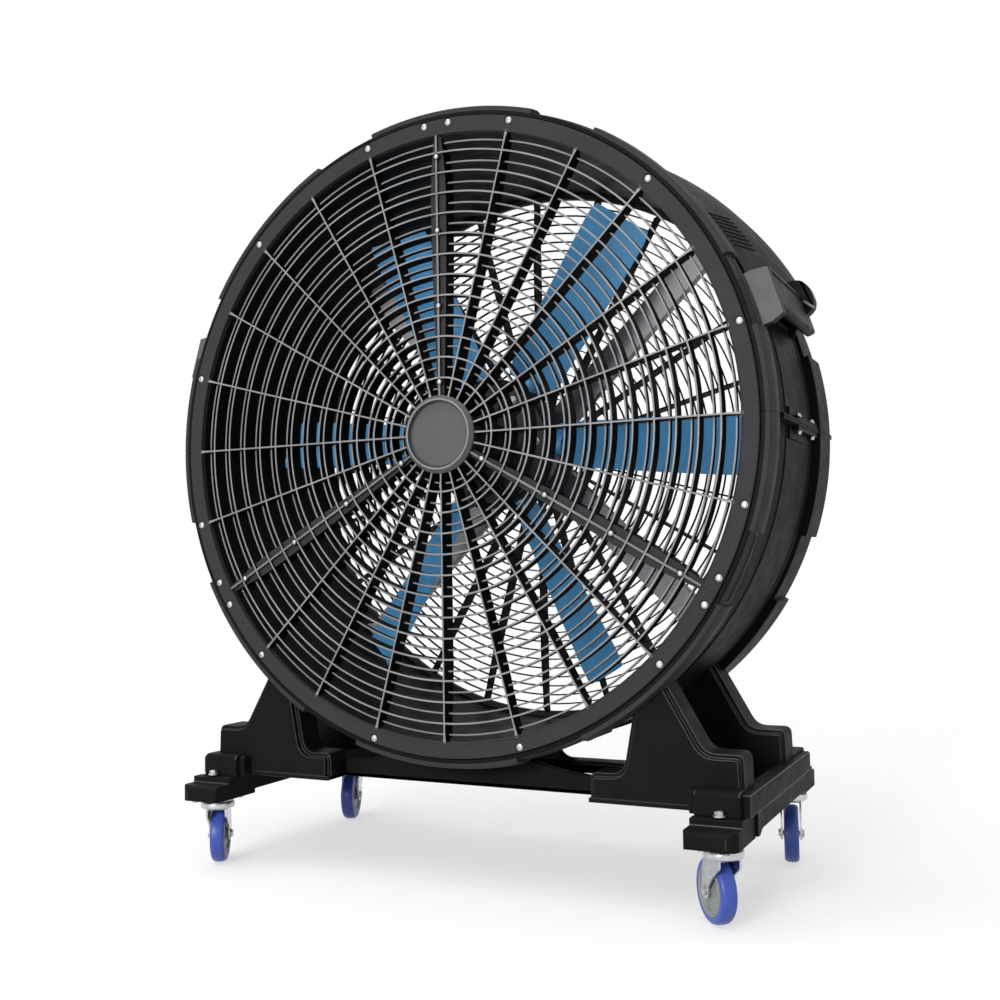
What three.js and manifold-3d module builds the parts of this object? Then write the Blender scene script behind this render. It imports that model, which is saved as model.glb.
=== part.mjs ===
// A drum fan: a short plastic drum with a moulded guard over each end and an impeller on a motor
// inside, cradled by two pedestals on a low base with four swivel casters.
// The drum's axis runs along Y with the mouth at -Y, and the origin lies on the floor under its middle.
import * as THREE from "three";
import { mergeVertices } from "three/addons/utils/BufferGeometryUtils.js";
import Module from "manifold-3d";

const wasm = await Module();
wasm.setup();

// ---- driving sizes, in millimetres and degrees ----

const GAP = 0.3; // between pieces that touch each other
const FLAT_WITHIN = 0.02; // faces this close to one plane count as one face
const CRADLE = 278; // floor to the drum's body at its lowest

// drum shell
const DRUM_LENGTH = 540;
const BORE_R = 656; // the radii below follow it
const PADS = 8; // raised stretches of the two end bands
const PAD_HALF = 15.6;
const PAD_RAMP = 1.6;
const BAND_R = BORE_R + 46; // front band, on its pads
const BAND_RECESS = 9;
const BAND_LENGTH = 65;
const BAND_SETBACK = 4; // front band behind the mouth's face, except at the top and the bottom
const BODY_FRONT_R = BORE_R + 16;
const BODY_RIDGE_R = BORE_R + 28;
const BODY_RIDGE = 190; // from the mouth to the body's ridge line
const BODY_REAR_R = BORE_R + 34;
const GROOVE = 6; // width and depth of the groove before the rear band
const REAR_BAND_R = BORE_R + 51;
const REAR_BAND_RECESS = 10;
const REAR_BAND_LENGTH = 120;
const EDGE = 6; // chamfer on the bands
const SEAM_BOSS = { reach: 22, height: 15, from: 210, to: 465 };
const AXIS_HEIGHT = CRADLE + BODY_FRONT_R;

// guards
const FLANGE_IN_R = BORE_R - 13;
const FLANGE_OUT_R = BORE_R + 21;
const FLANGE_THICK = 12;
const SHADOW_LINE = 2; // open line between a guard's flange and the band
const SECTORS = 3;
const RIB_STEP = 15;
const RIB_WIDTH = 4.8;
const RIB_DEPTH = 32;
const RING_WIDTH = 4.8;
const RING_DEPTH = 20;
const RING_OUT_R = FLANGE_IN_R - 38;
const RINGS = 12;
const REAR_RIBS = 12;
const REAR_RINGS = 7;
const CORE_R = 78; // moulded ring that the ribs run into
const CORE_WALL = 18;
const RING_IN_R = CORE_R + 43;
const RING_PITCH = (RING_OUT_R - RING_IN_R) / (RINGS - 1);
const REAR_RING_PITCH = (RING_OUT_R - RING_IN_R - 22) / (REAR_RINGS - 1);
const ARM_PEAK_R = RING_OUT_R - 95; // where a joining arm is widest
const ARM_ENDS = { outer: 8, peak: 18.5, inner: 7.5 }; // half widths
const CAP_R = CORE_R + 4.5;
const CAP_HEIGHT = 13;
const CAP_DISC_R = CAP_R - 17.5;
const CAP_SPIGOT = 18;

// impeller and motor, with places counted back from the mouth
const BLADES = 6;
const BLADE_PLANE = DRUM_LENGTH / 2 - 5;
const BLADE_TURN = -3.5; // the impeller as it stands in the photograph, in degrees
const BLADE_TIP_R = BORE_R - 82;
const HUB_R = 150;
const BLADE_ROOT_R = HUB_R + 10;
const BLADE_CHORD = { root: 126, tip: 146 };
const BLADE_PITCH = { root: 43, tip: 31 };
const BLADE_THICK = 7;
const BLADE_CAMBER = 9;
const SHANK_R = 22;
const SHANK_DEPTH = 38; // how far a blade's shank goes into the hub
const HUB_WIDTH = 64;
const HUB_RECESS = 8;
const NOSE_R = 48;
const NOSE_HEIGHT = 24;
const SHAFT_R = 14;
const SHAFT_REACH = 55; // into the motor
const MOTOR_R = 100;
const MOTOR_PLACE = BLADE_PLANE + 65;
const BELL_R = 88;
const BELL_LENGTH = 24;
const BOX = { width: 76, length: 84, height: 34, pad: 12 };
const PLATE_R = 118;
const PLATE_THICK = 12;
const STRUT_WIDTH = 66;
const STRUT_DEPTH = 24;
const STRUT_WALL = 5;
const STRUT_IN_R = 52;
const REAR_CLEAR = 16; // between the struts and the rear guard's ribs
const MOTOR_LENGTH =
  DRUM_LENGTH - RIB_DEPTH - REAR_CLEAR - STRUT_DEPTH - PLATE_THICK - 2 * GAP - MOTOR_PLACE;

// grab handles
const HANDLE_ANGLE = 19; // above 3 o'clock
const GRIP_R = BORE_R + 72;
const GRIP = { radial: 26, across: 40 };
const FRONT_LUG = { from: 50, thick: 24, base: 104, top: 76, reach: BORE_R + 85 };
const REAR_LUG = { from: 378, thick: 30, base: 140, waist: 84, reach: BORE_R + 109, shift: 30 };

// pedestals and base, with heights from the floor
const DECK = 202; // underside of the pedestals
const CHEEK_FRONT = { from: -245, to: -155 };
const CHEEK_REAR = { from: 100, to: 190 };
const CHEEK_OUT = BORE_R - 32;
const CHEEK_IN = CHEEK_OUT - 314;
const CHEEK_SHELF = 310;
const CHEEK_LOW_SHELF = 260;
const CHEEK_STEP = 6; // double edge round each cheek
const CHEEK_TOP = { inner: 51.7, outer: 46.75, depth: 10 }; // degrees below 3 o'clock, into the wall
const DECK_THICK = 9;
const SILL_OUT = CHEEK_OUT + 16;
const SILL_IN = SILL_OUT - 36;
const SILL_TOP = 243;
const BLOCK_IN = CHEEK_OUT - 89;
const BLOCK_OUT = CHEEK_OUT;
const BLOCK_TOP = 250;
const BLOCK_REACH = 285;
const LEDGE_REACH = BLOCK_REACH + 25;
const FOOT_OUT = CHEEK_OUT + 10;
const FOOT_REACH = LEDGE_REACH + 45;
const FOOT_BACK = BLOCK_REACH - 70;
const FOOT_TOP = 190;
const FOOT_EDGE = 8;
const LEDGE_TOP = 208;
const SKIRT_BOTTOM = 167;
const SKIRT_WALL = 7;
const SKIRT_SHELF = SILL_OUT - 84;
const BEAM_WALL = 15;
const BEAM_FLANGE = 44;
const BEAM_FRONT = -175;
const BEAM_REAR = 145;
const BEAM_SHOULDER = 222;
const BEAM_CROWN = 108; // half width of the stretch that carries the drum

// casters
const CASTER_X = FOOT_OUT - 44;
const CASTER_Y = BLOCK_REACH - 5;
const CASTER_HEIGHT = 155;
const WHEEL_R = 62.5;
const WHEEL_WIDTH = 32;
const TREAD = 14;
const TRAIL = 36;
const WHEEL_SIDES = 24;
const PIN_SIDES = 8;
const TOP_PLATE = { long: 105, wide: 80, thick: 4 };
const RACE_R = 35;
const RACE_HEIGHT = 5;
const HEAD_R = 38;
const KINGPIN_R = 7;
const RUNNING = 1; // clearance round a turning pin
const FORK_WALL = 4;
const FORK_SIDE_GAP = 3;
const FORK_TOP_GAP = 3;
const FORK_BOSS = 15;
const AXLE_R = 5.2;
const AXLE_HEAD_R = 9.5;
const AXLE_HEAD = 5;
// the way each wheel trails as the fan stands, in degrees about Z
const TRAIL_ANGLES = {
  front_right: 130.5,
  front_left: 120.9,
  rear_left: -69.1,
  rear_right: -77.4,
};

// ---- places that follow from them ----

const FRONT = -DRUM_LENGTH / 2;
const REAR = DRUM_LENGTH / 2;
const PAD_PITCH = 360 / PADS;
const fromMouth = (distance) => FRONT + distance;
const REAR_BAND = REAR - REAR_BAND_LENGTH;
const rad = THREE.MathUtils.degToRad;
const { lerp, clamp } = THREE.MathUtils;

// ---- colours ----

function paint(color, roughness, metalness = 0) {
  return new THREE.MeshStandardMaterial({ color, roughness, metalness });
}
const shellPlastic = () => paint(0x2c2c2e, 0.5);
const guardPlastic = () => paint(0x474749, 0.5);
const capPlastic = () => paint(0x606264, 0.45);
const lugPlastic = () => paint(0x666668, 0.5);
const bladePlastic = () => paint(0x3f86c2, 0.35);
const darkMetal = () => paint(0x232325, 0.5, 0.3);
const greyPaint = () => paint(0x7f7f80, 0.45, 0.2);
const zinc = () => paint(0xb9bcc0, 0.35, 0.9);
const treadBlue = () => paint(0x4159b8, 0.5);
const wheelGrey = () => paint(0x8d938f, 0.5);

// ---- solids ----

// Six times the volume comes out below zero for a body that is inside out, which is turned back.
function facingOut(geometry) {
  const at = geometry.getAttribute("position");
  const order = geometry.index.array;
  const [a, b, c] = [new THREE.Vector3(), new THREE.Vector3(), new THREE.Vector3()];
  let volume = 0;
  for (let i = 0; i < order.length; i += 3) {
    a.fromBufferAttribute(at, order[i]);
    b.fromBufferAttribute(at, order[i + 1]);
    c.fromBufferAttribute(at, order[i + 2]);
    volume += a.dot(b.cross(c));
  }
  if (volume < 0) order.reverse();
  return geometry;
}

function closedMesh(geometry) {
  const bare = geometry.clone();
  bare.deleteAttribute("normal");
  bare.deleteAttribute("uv");
  return facingOut(mergeVertices(bare, 1e-4));
}

function solid(geometry) {
  const closed = closedMesh(geometry);
  return new wasm.Manifold(
    new wasm.Mesh({
      numProp: 3,
      vertProperties: new Float32Array(closed.getAttribute("position").array),
      triVerts: new Uint32Array(closed.index.array),
    }),
  );
}

const joined = (geometries) =>
  geometries.map(solid).reduce((whole, next) => whole.add(next));

function surface(body) {
  // Flat faces that came from different pieces are made one face.
  const mesh = body.asOriginal().simplify(FLAT_WITHIN).getMesh();
  const geometry = new THREE.BufferGeometry();
  geometry.setAttribute("position", new THREE.BufferAttribute(mesh.vertProperties, 3));
  geometry.setIndex(new THREE.BufferAttribute(mesh.triVerts, 1));
  geometry.computeVertexNormals();
  return geometry;
}

// The triangles that close a flat loop of points, wound as the loop is.
function loopFaces(loop) {
  const normal = new THREE.Vector3();
  loop.forEach((p, i) => normal.add(p.clone().cross(loop[(i + 1) % loop.length])));
  normal.normalize();
  const across = loop[1].clone().sub(loop[0]).normalize();
  const up = normal.clone().cross(across);
  const flat = loop.map((p) => new THREE.Vector2(p.dot(across), p.dot(up)));
  const area = (a, b, c) => b.clone().sub(a).cross(c.clone().sub(a));
  return THREE.ShapeUtils.triangulateShape(flat, []).map(([a, b, c]) =>
    area(flat[a], flat[b], flat[c]) > 0 ? [a, b, c] : [a, c, b],
  );
}

// A skin through loops of equally many points, closed on itself or with an end face at each end.
function loft(loops, closedOnItself = false) {
  const count = loops[0].length;
  const index = [];
  const spans = closedOnItself ? loops.length : loops.length - 1;
  for (let s = 0; s < spans; s++) {
    const near = s * count;
    const far = ((s + 1) % loops.length) * count;
    for (let i = 0; i < count; i++) {
      const j = (i + 1) % count;
      index.push(near + i, far + i, far + j, near + i, far + j, near + j);
    }
  }
  if (!closedOnItself) {
    const last = (loops.length - 1) * count;
    for (const [a, b, c] of loopFaces(loops[0])) index.push(a, b, c);
    for (const [a, b, c] of loopFaces(loops.at(-1))) index.push(last + a, last + c, last + b);
  }
  const geometry = new THREE.BufferGeometry().setFromPoints(loops.flat());
  geometry.setIndex(index);
  return facingOut(geometry);
}

// A point at an angle round the drum's axis, counted from +X towards +Z.
function polar(degrees, r, y) {
  return new THREE.Vector3(r * Math.cos(rad(degrees)), y, r * Math.sin(rad(degrees)));
}

function turned(geometry, degrees) {
  return geometry.clone().rotateY(-rad(degrees));
}

// A body of revolution about Y from [radius, y] corners; a first radius of 0 stands on the axis.
function revolve(corners, sides, turn = 0) {
  const profile = corners.map(([r, y]) => new THREE.Vector2(r, y));
  if (corners[0][0] > 0) profile.push(profile[0].clone());
  return new THREE.LatheGeometry(profile, sides, rad(turn));
}

function box(x, y, z) {
  return new THREE.BoxGeometry(x[1] - x[0], y[1] - y[0], z[1] - z[0]).translate(
    (x[0] + x[1]) / 2,
    (y[0] + y[1]) / 2,
    (z[0] + z[1]) / 2,
  );
}

// An outline drawn in two of the axes, given thickness along the third.
const PLANES = {
  xy: [new THREE.Vector3(1, 0, 0), new THREE.Vector3(0, 1, 0), new THREE.Vector3(0, 0, 1)],
  xz: [new THREE.Vector3(1, 0, 0), new THREE.Vector3(0, 0, 1), new THREE.Vector3(0, -1, 0)],
  yz: [new THREE.Vector3(0, 1, 0), new THREE.Vector3(0, 0, 1), new THREE.Vector3(1, 0, 0)],
};

function slab(outline, plane, from, to) {
  const shape = Array.isArray(outline)
    ? new THREE.Shape(outline.map(([u, v]) => new THREE.Vector2(u, v)))
    : outline;
  const depth = to - from;
  const geometry = new THREE.ExtrudeGeometry(shape, { depth, bevelEnabled: false, curveSegments: 3 });
  geometry.applyMatrix4(new THREE.Matrix4().makeBasis(...PLANES[plane]));
  const shift = plane === "xz" ? to : from;
  const normal = PLANES[plane][2];
  return geometry.translate(
    Math.abs(normal.x) * shift,
    Math.abs(normal.y) * shift,
    Math.abs(normal.z) * shift,
  );
}

function rod(r, sides, from, to) {
  return revolve([[0, from], [r, from], [r, to], [0, to]], sides, 180 / sides);
}

function named(name, geometry, material) {
  const mesh = new THREE.Mesh(geometry, material);
  mesh.name = name;
  return mesh;
}

// ---- drum shell ----

// 1 on a pad of the end bands, 0 between two pads, and a short ramp between.
function padRaise(degrees) {
  const turn = THREE.MathUtils.euclideanModulo(degrees, PAD_PITCH);
  const away = Math.min(turn, PAD_PITCH - turn);
  return clamp((PAD_HALF + PAD_RAMP - away) / PAD_RAMP, 0, 1);
}

// The angles where the drum's round pieces have a corner, between two angles and at both.
function cornersBetween(from, to) {
  const half = PAD_PITCH / 2;
  const offsets = [0, PAD_HALF / 2, PAD_HALF, PAD_HALF + PAD_RAMP, half];
  const inOnePitch = [...offsets, ...offsets.slice(1, -1).map((a) => PAD_PITCH - a)];
  const first = Math.floor(from / PAD_PITCH);
  const last = Math.ceil(to / PAD_PITCH);
  const angles = [];
  for (let pitch = first; pitch <= last; pitch++) {
    angles.push(...inOnePitch.map((offset) => pitch * PAD_PITCH + offset));
  }
  const inside = angles.filter((a) => a > from + 0.5 && a < to - 0.5);
  return [from, ...inside.sort((a, b) => a - b), to];
}

function bandSizes(degrees) {
  const raise = padRaise(degrees);
  const upright = Math.abs(Math.sin(rad(degrees))) > Math.sin(rad(60));
  return {
    front: BAND_R - BAND_RECESS * (1 - raise),
    rear: REAR_BAND_R - REAR_BAND_RECESS * (1 - raise),
    setback: BAND_SETBACK * (upright ? 1 - raise : 1),
  };
}

function shellLoop(degrees) {
  const { front, rear, setback } = bandSizes(degrees);
  const stepR = FLANGE_OUT_R + SHADOW_LINE;
  const seat = FLANGE_THICK + GAP;
  const loop = [
    [BORE_R, FRONT + seat],
    [stepR, FRONT + seat],
    [stepR, FRONT + setback],
    [front - EDGE, FRONT + setback],
    [front, FRONT + setback + EDGE],
    [front, FRONT + BAND_LENGTH],
    [BODY_FRONT_R, FRONT + BAND_LENGTH + EDGE],
    [BODY_RIDGE_R, fromMouth(BODY_RIDGE)],
    [BODY_REAR_R, REAR_BAND - GROOVE],
    [BODY_REAR_R - GROOVE, REAR_BAND - GROOVE],
    [BODY_REAR_R - GROOVE, REAR_BAND],
    [rear, REAR_BAND + EDGE / 2],
    [rear, REAR - EDGE],
    [rear - EDGE, REAR],
    [stepR, REAR],
    [stepR, REAR - seat],
    [BORE_R, REAR - seat],
  ];
  return loop.map(([r, y]) => polar(degrees, r, y));
}

// One half of the shell, from 3 o'clock over the top to 9 o'clock, with its two bolting bosses.
function halfShell() {
  const split = THREE.MathUtils.radToDeg(GAP / 2 / BORE_R);
  const skin = loft(cornersBetween(split, 180 - split).map(shellLoop));
  const y = [fromMouth(SEAM_BOSS.from), fromMouth(SEAM_BOSS.to)];
  const z = [GAP / 2, SEAM_BOSS.height];
  const inner = BODY_FRONT_R - EDGE;
  const outer = BODY_RIDGE_R + SEAM_BOSS.reach;
  return surface(joined([skin, box([inner, outer], y, z), box([-outer, -inner], y, z)]));
}

// The drum's outer form grown by the usual gap, which cuts the seat of whatever rests on the drum.
function drumEnvelope() {
  const inner = BORE_R - 40;
  const loops = cornersBetween(0, 360).slice(0, -1).map((degrees) => {
    const { front, rear } = bandSizes(degrees);
    const loop = [
      [inner, FRONT - GAP],
      [front + GAP, FRONT - GAP],
      [front + GAP, FRONT + BAND_LENGTH + GAP],
      [BODY_FRONT_R + GAP, FRONT + BAND_LENGTH + EDGE + GAP],
      [BODY_RIDGE_R + GAP, fromMouth(BODY_RIDGE)],
      [BODY_REAR_R + GAP, REAR_BAND - GAP],
      [rear + GAP, REAR_BAND - GAP],
      [rear + GAP, REAR + GAP],
      [inner, REAR + GAP],
    ];
    return loop.map(([r, y]) => polar(degrees, r, y));
  });
  return solid(loft(loops, true));
}

// What fits inside the drum's bore with the usual gap.
function boreFilling() {
  const loop = (y) => cornersBetween(0, 360).slice(0, -1).map((a) => polar(a, BORE_R - GAP, y));
  return solid(loft([loop(FRONT), loop(REAR)]));
}

// ---- guards, drawn for the mouth; the rear one is the same way round, turned to face back ----

function flangeArc(from, to) {
  const loops = cornersBetween(from, to).map((a) => [
    polar(a, FLANGE_IN_R, FRONT),
    polar(a, FLANGE_OUT_R, FRONT),
    polar(a, FLANGE_OUT_R, FRONT + FLANGE_THICK),
    polar(a, FLANGE_IN_R, FRONT + FLANGE_THICK),
  ]);
  return loft(loops);
}

function coreArc(from, to) {
  const depth = RIB_DEPTH - EDGE;
  const steps = Math.round((to - from) / RIB_STEP);
  const loops = [];
  for (let i = 0; i <= steps; i++) {
    const angle = lerp(from, to, i / steps);
    loops.push([
      polar(angle, CORE_R - CORE_WALL, FRONT),
      polar(angle, CORE_R, FRONT),
      polar(angle, CORE_R, FRONT + depth),
      polar(angle, CORE_R - CORE_WALL, FRONT + depth),
    ]);
  }
  return loft(loops);
}

// A deep rib from the core to the flange, standing on edge and cut back where it meets the shell.
function rib(angle) {
  const inner = CORE_R - CORE_WALL / 2;
  const outer = FLANGE_IN_R + EDGE;
  const side = [
    [inner, FRONT],
    [outer, FRONT],
    [outer, FRONT + FLANGE_THICK - GAP],
    [FLANGE_IN_R, FRONT + RIB_DEPTH],
    [inner, FRONT + RIB_DEPTH],
  ];
  return turned(slab(side, "xy", -RIB_WIDTH / 2, RIB_WIDTH / 2), angle);
}

// A guard ring as straight stretches from rib to rib, wedge-shaped with its flat edge outside.
function ringArc(r, angles, closedOnItself = false) {
  const loops = angles.map((angle) => [
    polar(angle, r - RING_WIDTH / 2, FRONT),
    polar(angle, r + RING_WIDTH / 2, FRONT),
    polar(angle, r, FRONT + RING_DEPTH),
  ]);
  return loft(loops, closedOnItself);
}

// Half the width of a joining arm: a boat shape, widest at ARM_PEAK_R.
function armHalf(r) {
  const inward = r < ARM_PEAK_R;
  const end = inward ? CORE_R : FLANGE_IN_R;
  const along = clamp((r - end) / (ARM_PEAK_R - end), 0, 1);
  const least = inward ? ARM_ENDS.inner : ARM_ENDS.outer;
  return lerp(least, ARM_ENDS.peak, Math.sin((along * Math.PI) / 2));
}

// The half of a joining arm on one side (+1 or -1) of its seam.
function halfArm(angle, side) {
  const radii = [CORE_R - CORE_WALL / 2];
  for (let i = 1; i <= 4; i++) radii.push(lerp(CORE_R, ARM_PEAK_R, i / 4));
  radii.push((ARM_PEAK_R + FLANGE_IN_R) / 2, FLANGE_IN_R, FLANGE_IN_R + EDGE);
  const seam = GAP / 2;
  const outline = radii.map((r) => [r, side * armHalf(r)]);
  outline.push([radii.at(-1), side * seam], [radii[0], side * seam]);
  const web = slab(outline, "xz", FRONT, FRONT + FLANGE_THICK - GAP);
  const deep = outline.map(([r, t]) => [Math.min(r, FLANGE_IN_R - EDGE), t]);
  deep.splice(radii.length - 1, 2);
  const keel = slab(deep, "xz", FRONT + EDGE, FRONT + RIB_DEPTH);
  return [turned(web, angle), turned(keel, angle)];
}

function ringAngles(r, from, to) {
  const inset = THREE.MathUtils.radToDeg(armHalf(r) / 2 / r);
  const step = r > ARM_PEAK_R + RING_PITCH / 2 ? RIB_STEP / 2 : RIB_STEP;
  const angles = [from + inset];
  for (let a = from + step; a < to - step / 2; a += step) angles.push(a);
  return [...angles, to - inset];
}

// One moulded sector of the front guard, from arm to arm.
function guardSector(from) {
  const to = from + 360 / SECTORS;
  const seam = THREE.MathUtils.radToDeg(GAP / 2 / (CORE_R - CORE_WALL));
  const flangeSeam = THREE.MathUtils.radToDeg(GAP / 2 / FLANGE_IN_R);
  const pieces = [flangeArc(from + flangeSeam, to - flangeSeam), coreArc(from + seam, to - seam)];
  pieces.push(...halfArm(from, 1), ...halfArm(to, -1));
  for (let angle = from + RIB_STEP; angle < to - RIB_STEP / 2; angle += RIB_STEP) {
    pieces.push(rib(angle));
  }
  for (let i = 0; i < RINGS; i++) {
    const r = RING_OUT_R - i * RING_PITCH;
    pieces.push(ringArc(r, ringAngles(r, from, to)));
  }
  return surface(joined(pieces));
}

function rearGuard() {
  const angles = [];
  for (let angle = 0; angle < 360; angle += RIB_STEP) angles.push(angle);
  const flange = cornersBetween(0, 360).slice(0, -1).map((a) => [
    polar(a, FLANGE_IN_R, FRONT),
    polar(a, FLANGE_OUT_R, FRONT),
    polar(a, FLANGE_OUT_R, FRONT + FLANGE_THICK),
    polar(a, FLANGE_IN_R, FRONT + FLANGE_THICK),
  ]);
  const core = angles.map((a) => [
    polar(a, CORE_R - CORE_WALL, FRONT),
    polar(a, CORE_R, FRONT),
    polar(a, CORE_R, FRONT + RIB_DEPTH),
    polar(a, CORE_R - CORE_WALL, FRONT + RIB_DEPTH),
  ]);
  const pieces = [loft(flange, true), loft(core, true)];
  for (let i = 0; i < REAR_RIBS; i++) pieces.push(rib((i * 360) / REAR_RIBS));
  for (let i = 0; i < REAR_RINGS; i++) {
    pieces.push(ringArc(RING_OUT_R - i * REAR_RING_PITCH, angles, true));
  }
  return surface(joined(pieces));
}

// A plain round cap: a raised round rim, a dark groove inside it and a flat bare disc.
function frontCap() {
  const rimMiddle = (CAP_R + CAP_DISC_R) / 2 + EDGE / 2;
  const base = FRONT - GAP;
  const face = base - CAP_HEIGHT * 0.6;
  const bore = CORE_R - CORE_WALL - GAP;
  const corners = [
    [0, face],
    [CAP_DISC_R, face],
    [CAP_DISC_R + 1, base - 2],
    [CAP_DISC_R + EDGE, base - 2],
    [rimMiddle - 2, base - CAP_HEIGHT],
    [rimMiddle + 3, base - CAP_HEIGHT],
    [CAP_R, base - CAP_HEIGHT / 2],
    [CAP_R, base],
    [bore, base],
    [bore, base + CAP_SPIGOT],
    [0, base + CAP_SPIGOT],
  ];
  return revolve(corners, WHEEL_SIDES);
}

function rearCap() {
  const base = FRONT - GAP;
  const bore = CORE_R - CORE_WALL - GAP;
  const face = base - CAP_HEIGHT / 2;
  return revolve(
    [[0, face], [CAP_DISC_R, face], [CAP_R, base], [bore, base], [bore, base + CAP_SPIGOT], [0, base + CAP_SPIGOT]],
    WHEEL_SIDES,
  );
}

// ---- impeller and motor ----

const PLANE = fromMouth(BLADE_PLANE);
const HUB_FRONT = PLANE - HUB_WIDTH / 2;
const HUB_BACK = PLANE + HUB_WIDTH / 2;
const MOTOR_FRONT = fromMouth(MOTOR_PLACE);
const MOTOR_BACK = MOTOR_FRONT + MOTOR_LENGTH;
const SHAFT_END = MOTOR_FRONT + SHAFT_REACH;

function shankRod(from, to, r) {
  return rod(r, PIN_SIDES, from, to).rotateZ(-Math.PI / 2).translate(0, PLANE, 0);
}

// A blade's section at a radius: a thin cambered wing, turned by its pitch. Its leading edge lies
// behind its trailing edge, so that the impeller turns clockwise, seen from the mouth, and blows out of it.
function bladeLoop(r) {
  const along = (r - BLADE_ROOT_R) / (BLADE_TIP_R - BLADE_ROOT_R);
  const chord = lerp(BLADE_CHORD.root, BLADE_CHORD.tip, Math.sin((along * Math.PI) / 2));
  const pitch = rad(lerp(BLADE_PITCH.root, BLADE_PITCH.tip, along));
  const section = [[0, 0], [0.18, 1], [0.5, 1], [1, 0], [0.5, -1], [0.18, -1]];
  return section.map(([u, side]) => {
    const hump = 4 * u * (1 - u);
    const rise = hump * BLADE_CAMBER + (side * BLADE_THICK * Math.sqrt(hump)) / 2;
    const across = (u - 0.5) * chord;
    const y = PLANE - across * Math.sin(pitch) + rise * Math.cos(pitch);
    return new THREE.Vector3(r, y, across * Math.cos(pitch) + rise * Math.sin(pitch));
  });
}

function blade() {
  const loops = [];
  for (let i = 0; i <= 5; i++) loops.push(bladeLoop(lerp(BLADE_ROOT_R, BLADE_TIP_R, i / 5)));
  const shank = shankRod(HUB_R - SHANK_DEPTH, BLADE_ROOT_R + SHANK_R, SHANK_R);
  const tip = shankRod(BLADE_ROOT_R + SHANK_R - GAP, BLADE_ROOT_R + SHANK_R, SHANK_R / 2);
  return surface(solid(loft(loops)).add(solid(shank)).add(solid(tip)));
}

function hub() {
  const bore = SHAFT_R + GAP;
  const waist = (NOSE_R + HUB_R) / 2;
  const corners = [
    [bore, HUB_FRONT],
    [NOSE_R + EDGE, HUB_FRONT],
    [waist, HUB_FRONT + HUB_RECESS],
    [HUB_R - 2 * EDGE, HUB_FRONT + HUB_RECESS],
    [HUB_R - EDGE, HUB_FRONT],
    [HUB_R, HUB_FRONT + EDGE],
    [HUB_R, HUB_BACK - EDGE],
    [HUB_R - EDGE, HUB_BACK],
    [bore, HUB_BACK],
  ];
  let body = solid(revolve(corners, WHEEL_SIDES));
  for (let i = 0; i < BLADES; i++) {
    const socket = shankRod(HUB_R - SHANK_DEPTH - GAP, HUB_R + EDGE, SHANK_R + GAP);
    body = body.subtract(solid(turned(socket, BLADE_TURN + (i * 360) / BLADES)));
  }
  return surface(body);
}

function nose() {
  const base = HUB_FRONT - GAP;
  const corners = [[0, base - NOSE_HEIGHT]];
  for (const turn of [25, 50, 75]) {
    const r = NOSE_R * Math.sin(rad(turn));
    corners.push([r, base - NOSE_HEIGHT * Math.cos(rad(turn))]);
  }
  corners.push([NOSE_R, base], [0, base]);
  return revolve(corners, 16);
}

function motorBody() {
  const bore = SHAFT_R + RUNNING;
  const step = MOTOR_R - EDGE;
  const corners = [
    [bore, MOTOR_FRONT],
    [step, MOTOR_FRONT],
    [MOTOR_R, MOTOR_FRONT + EDGE],
    [MOTOR_R, MOTOR_BACK - EDGE],
    [step, MOTOR_BACK],
    [0, MOTOR_BACK],
    [0, SHAFT_END + RUNNING],
    [bore, SHAFT_END + RUNNING],
    [bore, MOTOR_FRONT],
  ];
  const body = new THREE.LatheGeometry(corners.map(([r, y]) => new THREE.Vector2(r, y)), 16);
  const middle = (MOTOR_FRONT + MOTOR_BACK) / 2;
  const pad = box(
    [-BOX.width / 2, BOX.width / 2],
    [middle - BOX.length / 2, middle + BOX.length / 2],
    [MOTOR_R / 2, MOTOR_R + BOX.pad],
  );
  return surface(solid(body).add(solid(pad)));
}

function motorBell() {
  const bore = SHAFT_R + RUNNING;
  const back = MOTOR_FRONT - GAP;
  const corners = [
    [bore, back - BELL_LENGTH],
    [SHAFT_R * 2.5, back - BELL_LENGTH],
    [BELL_R - EDGE, back - BELL_LENGTH / 2],
    [BELL_R, back - BELL_LENGTH / 3],
    [BELL_R, back],
    [bore, back],
  ];
  return revolve(corners, 16);
}

function terminalBox() {
  const middle = (MOTOR_FRONT + MOTOR_BACK) / 2;
  const seat = MOTOR_R + BOX.pad + GAP;
  const [w, h] = [BOX.width / 2, BOX.height];
  const outline = [[-w, seat], [w, seat], [w, seat + h - EDGE], [w - EDGE, seat + h]];
  outline.push([EDGE - w, seat + h], [-w, seat + h - EDGE]);
  return slab(outline, "xz", middle - BOX.length / 2, middle + BOX.length / 2);
}

function motorPlate() {
  const front = MOTOR_BACK + GAP;
  return rod(PLATE_R, 16, front, front + PLATE_THICK);
}

// A channel-shaped strut from the motor's plate to the drum's wall, open towards the rear.
function strut(angle, filling) {
  const front = MOTOR_BACK + PLATE_THICK + 2 * GAP;
  const back = front + STRUT_DEPTH;
  const [half, wall] = [STRUT_WIDTH / 2, STRUT_WALL];
  const channel = [
    [front, -half],
    [back, -half],
    [back, wall - half],
    [front + wall, wall - half],
    [front + wall, half - wall],
    [back, half - wall],
    [back, half],
    [front, half],
  ];
  const bar = slab(channel, "yz", STRUT_IN_R + half, BORE_R + EDGE);
  return surface(solid(turned(bar, angle)).intersect(filling));
}

// ---- handles, drawn with the radius along X and turned to their angle ----

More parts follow.
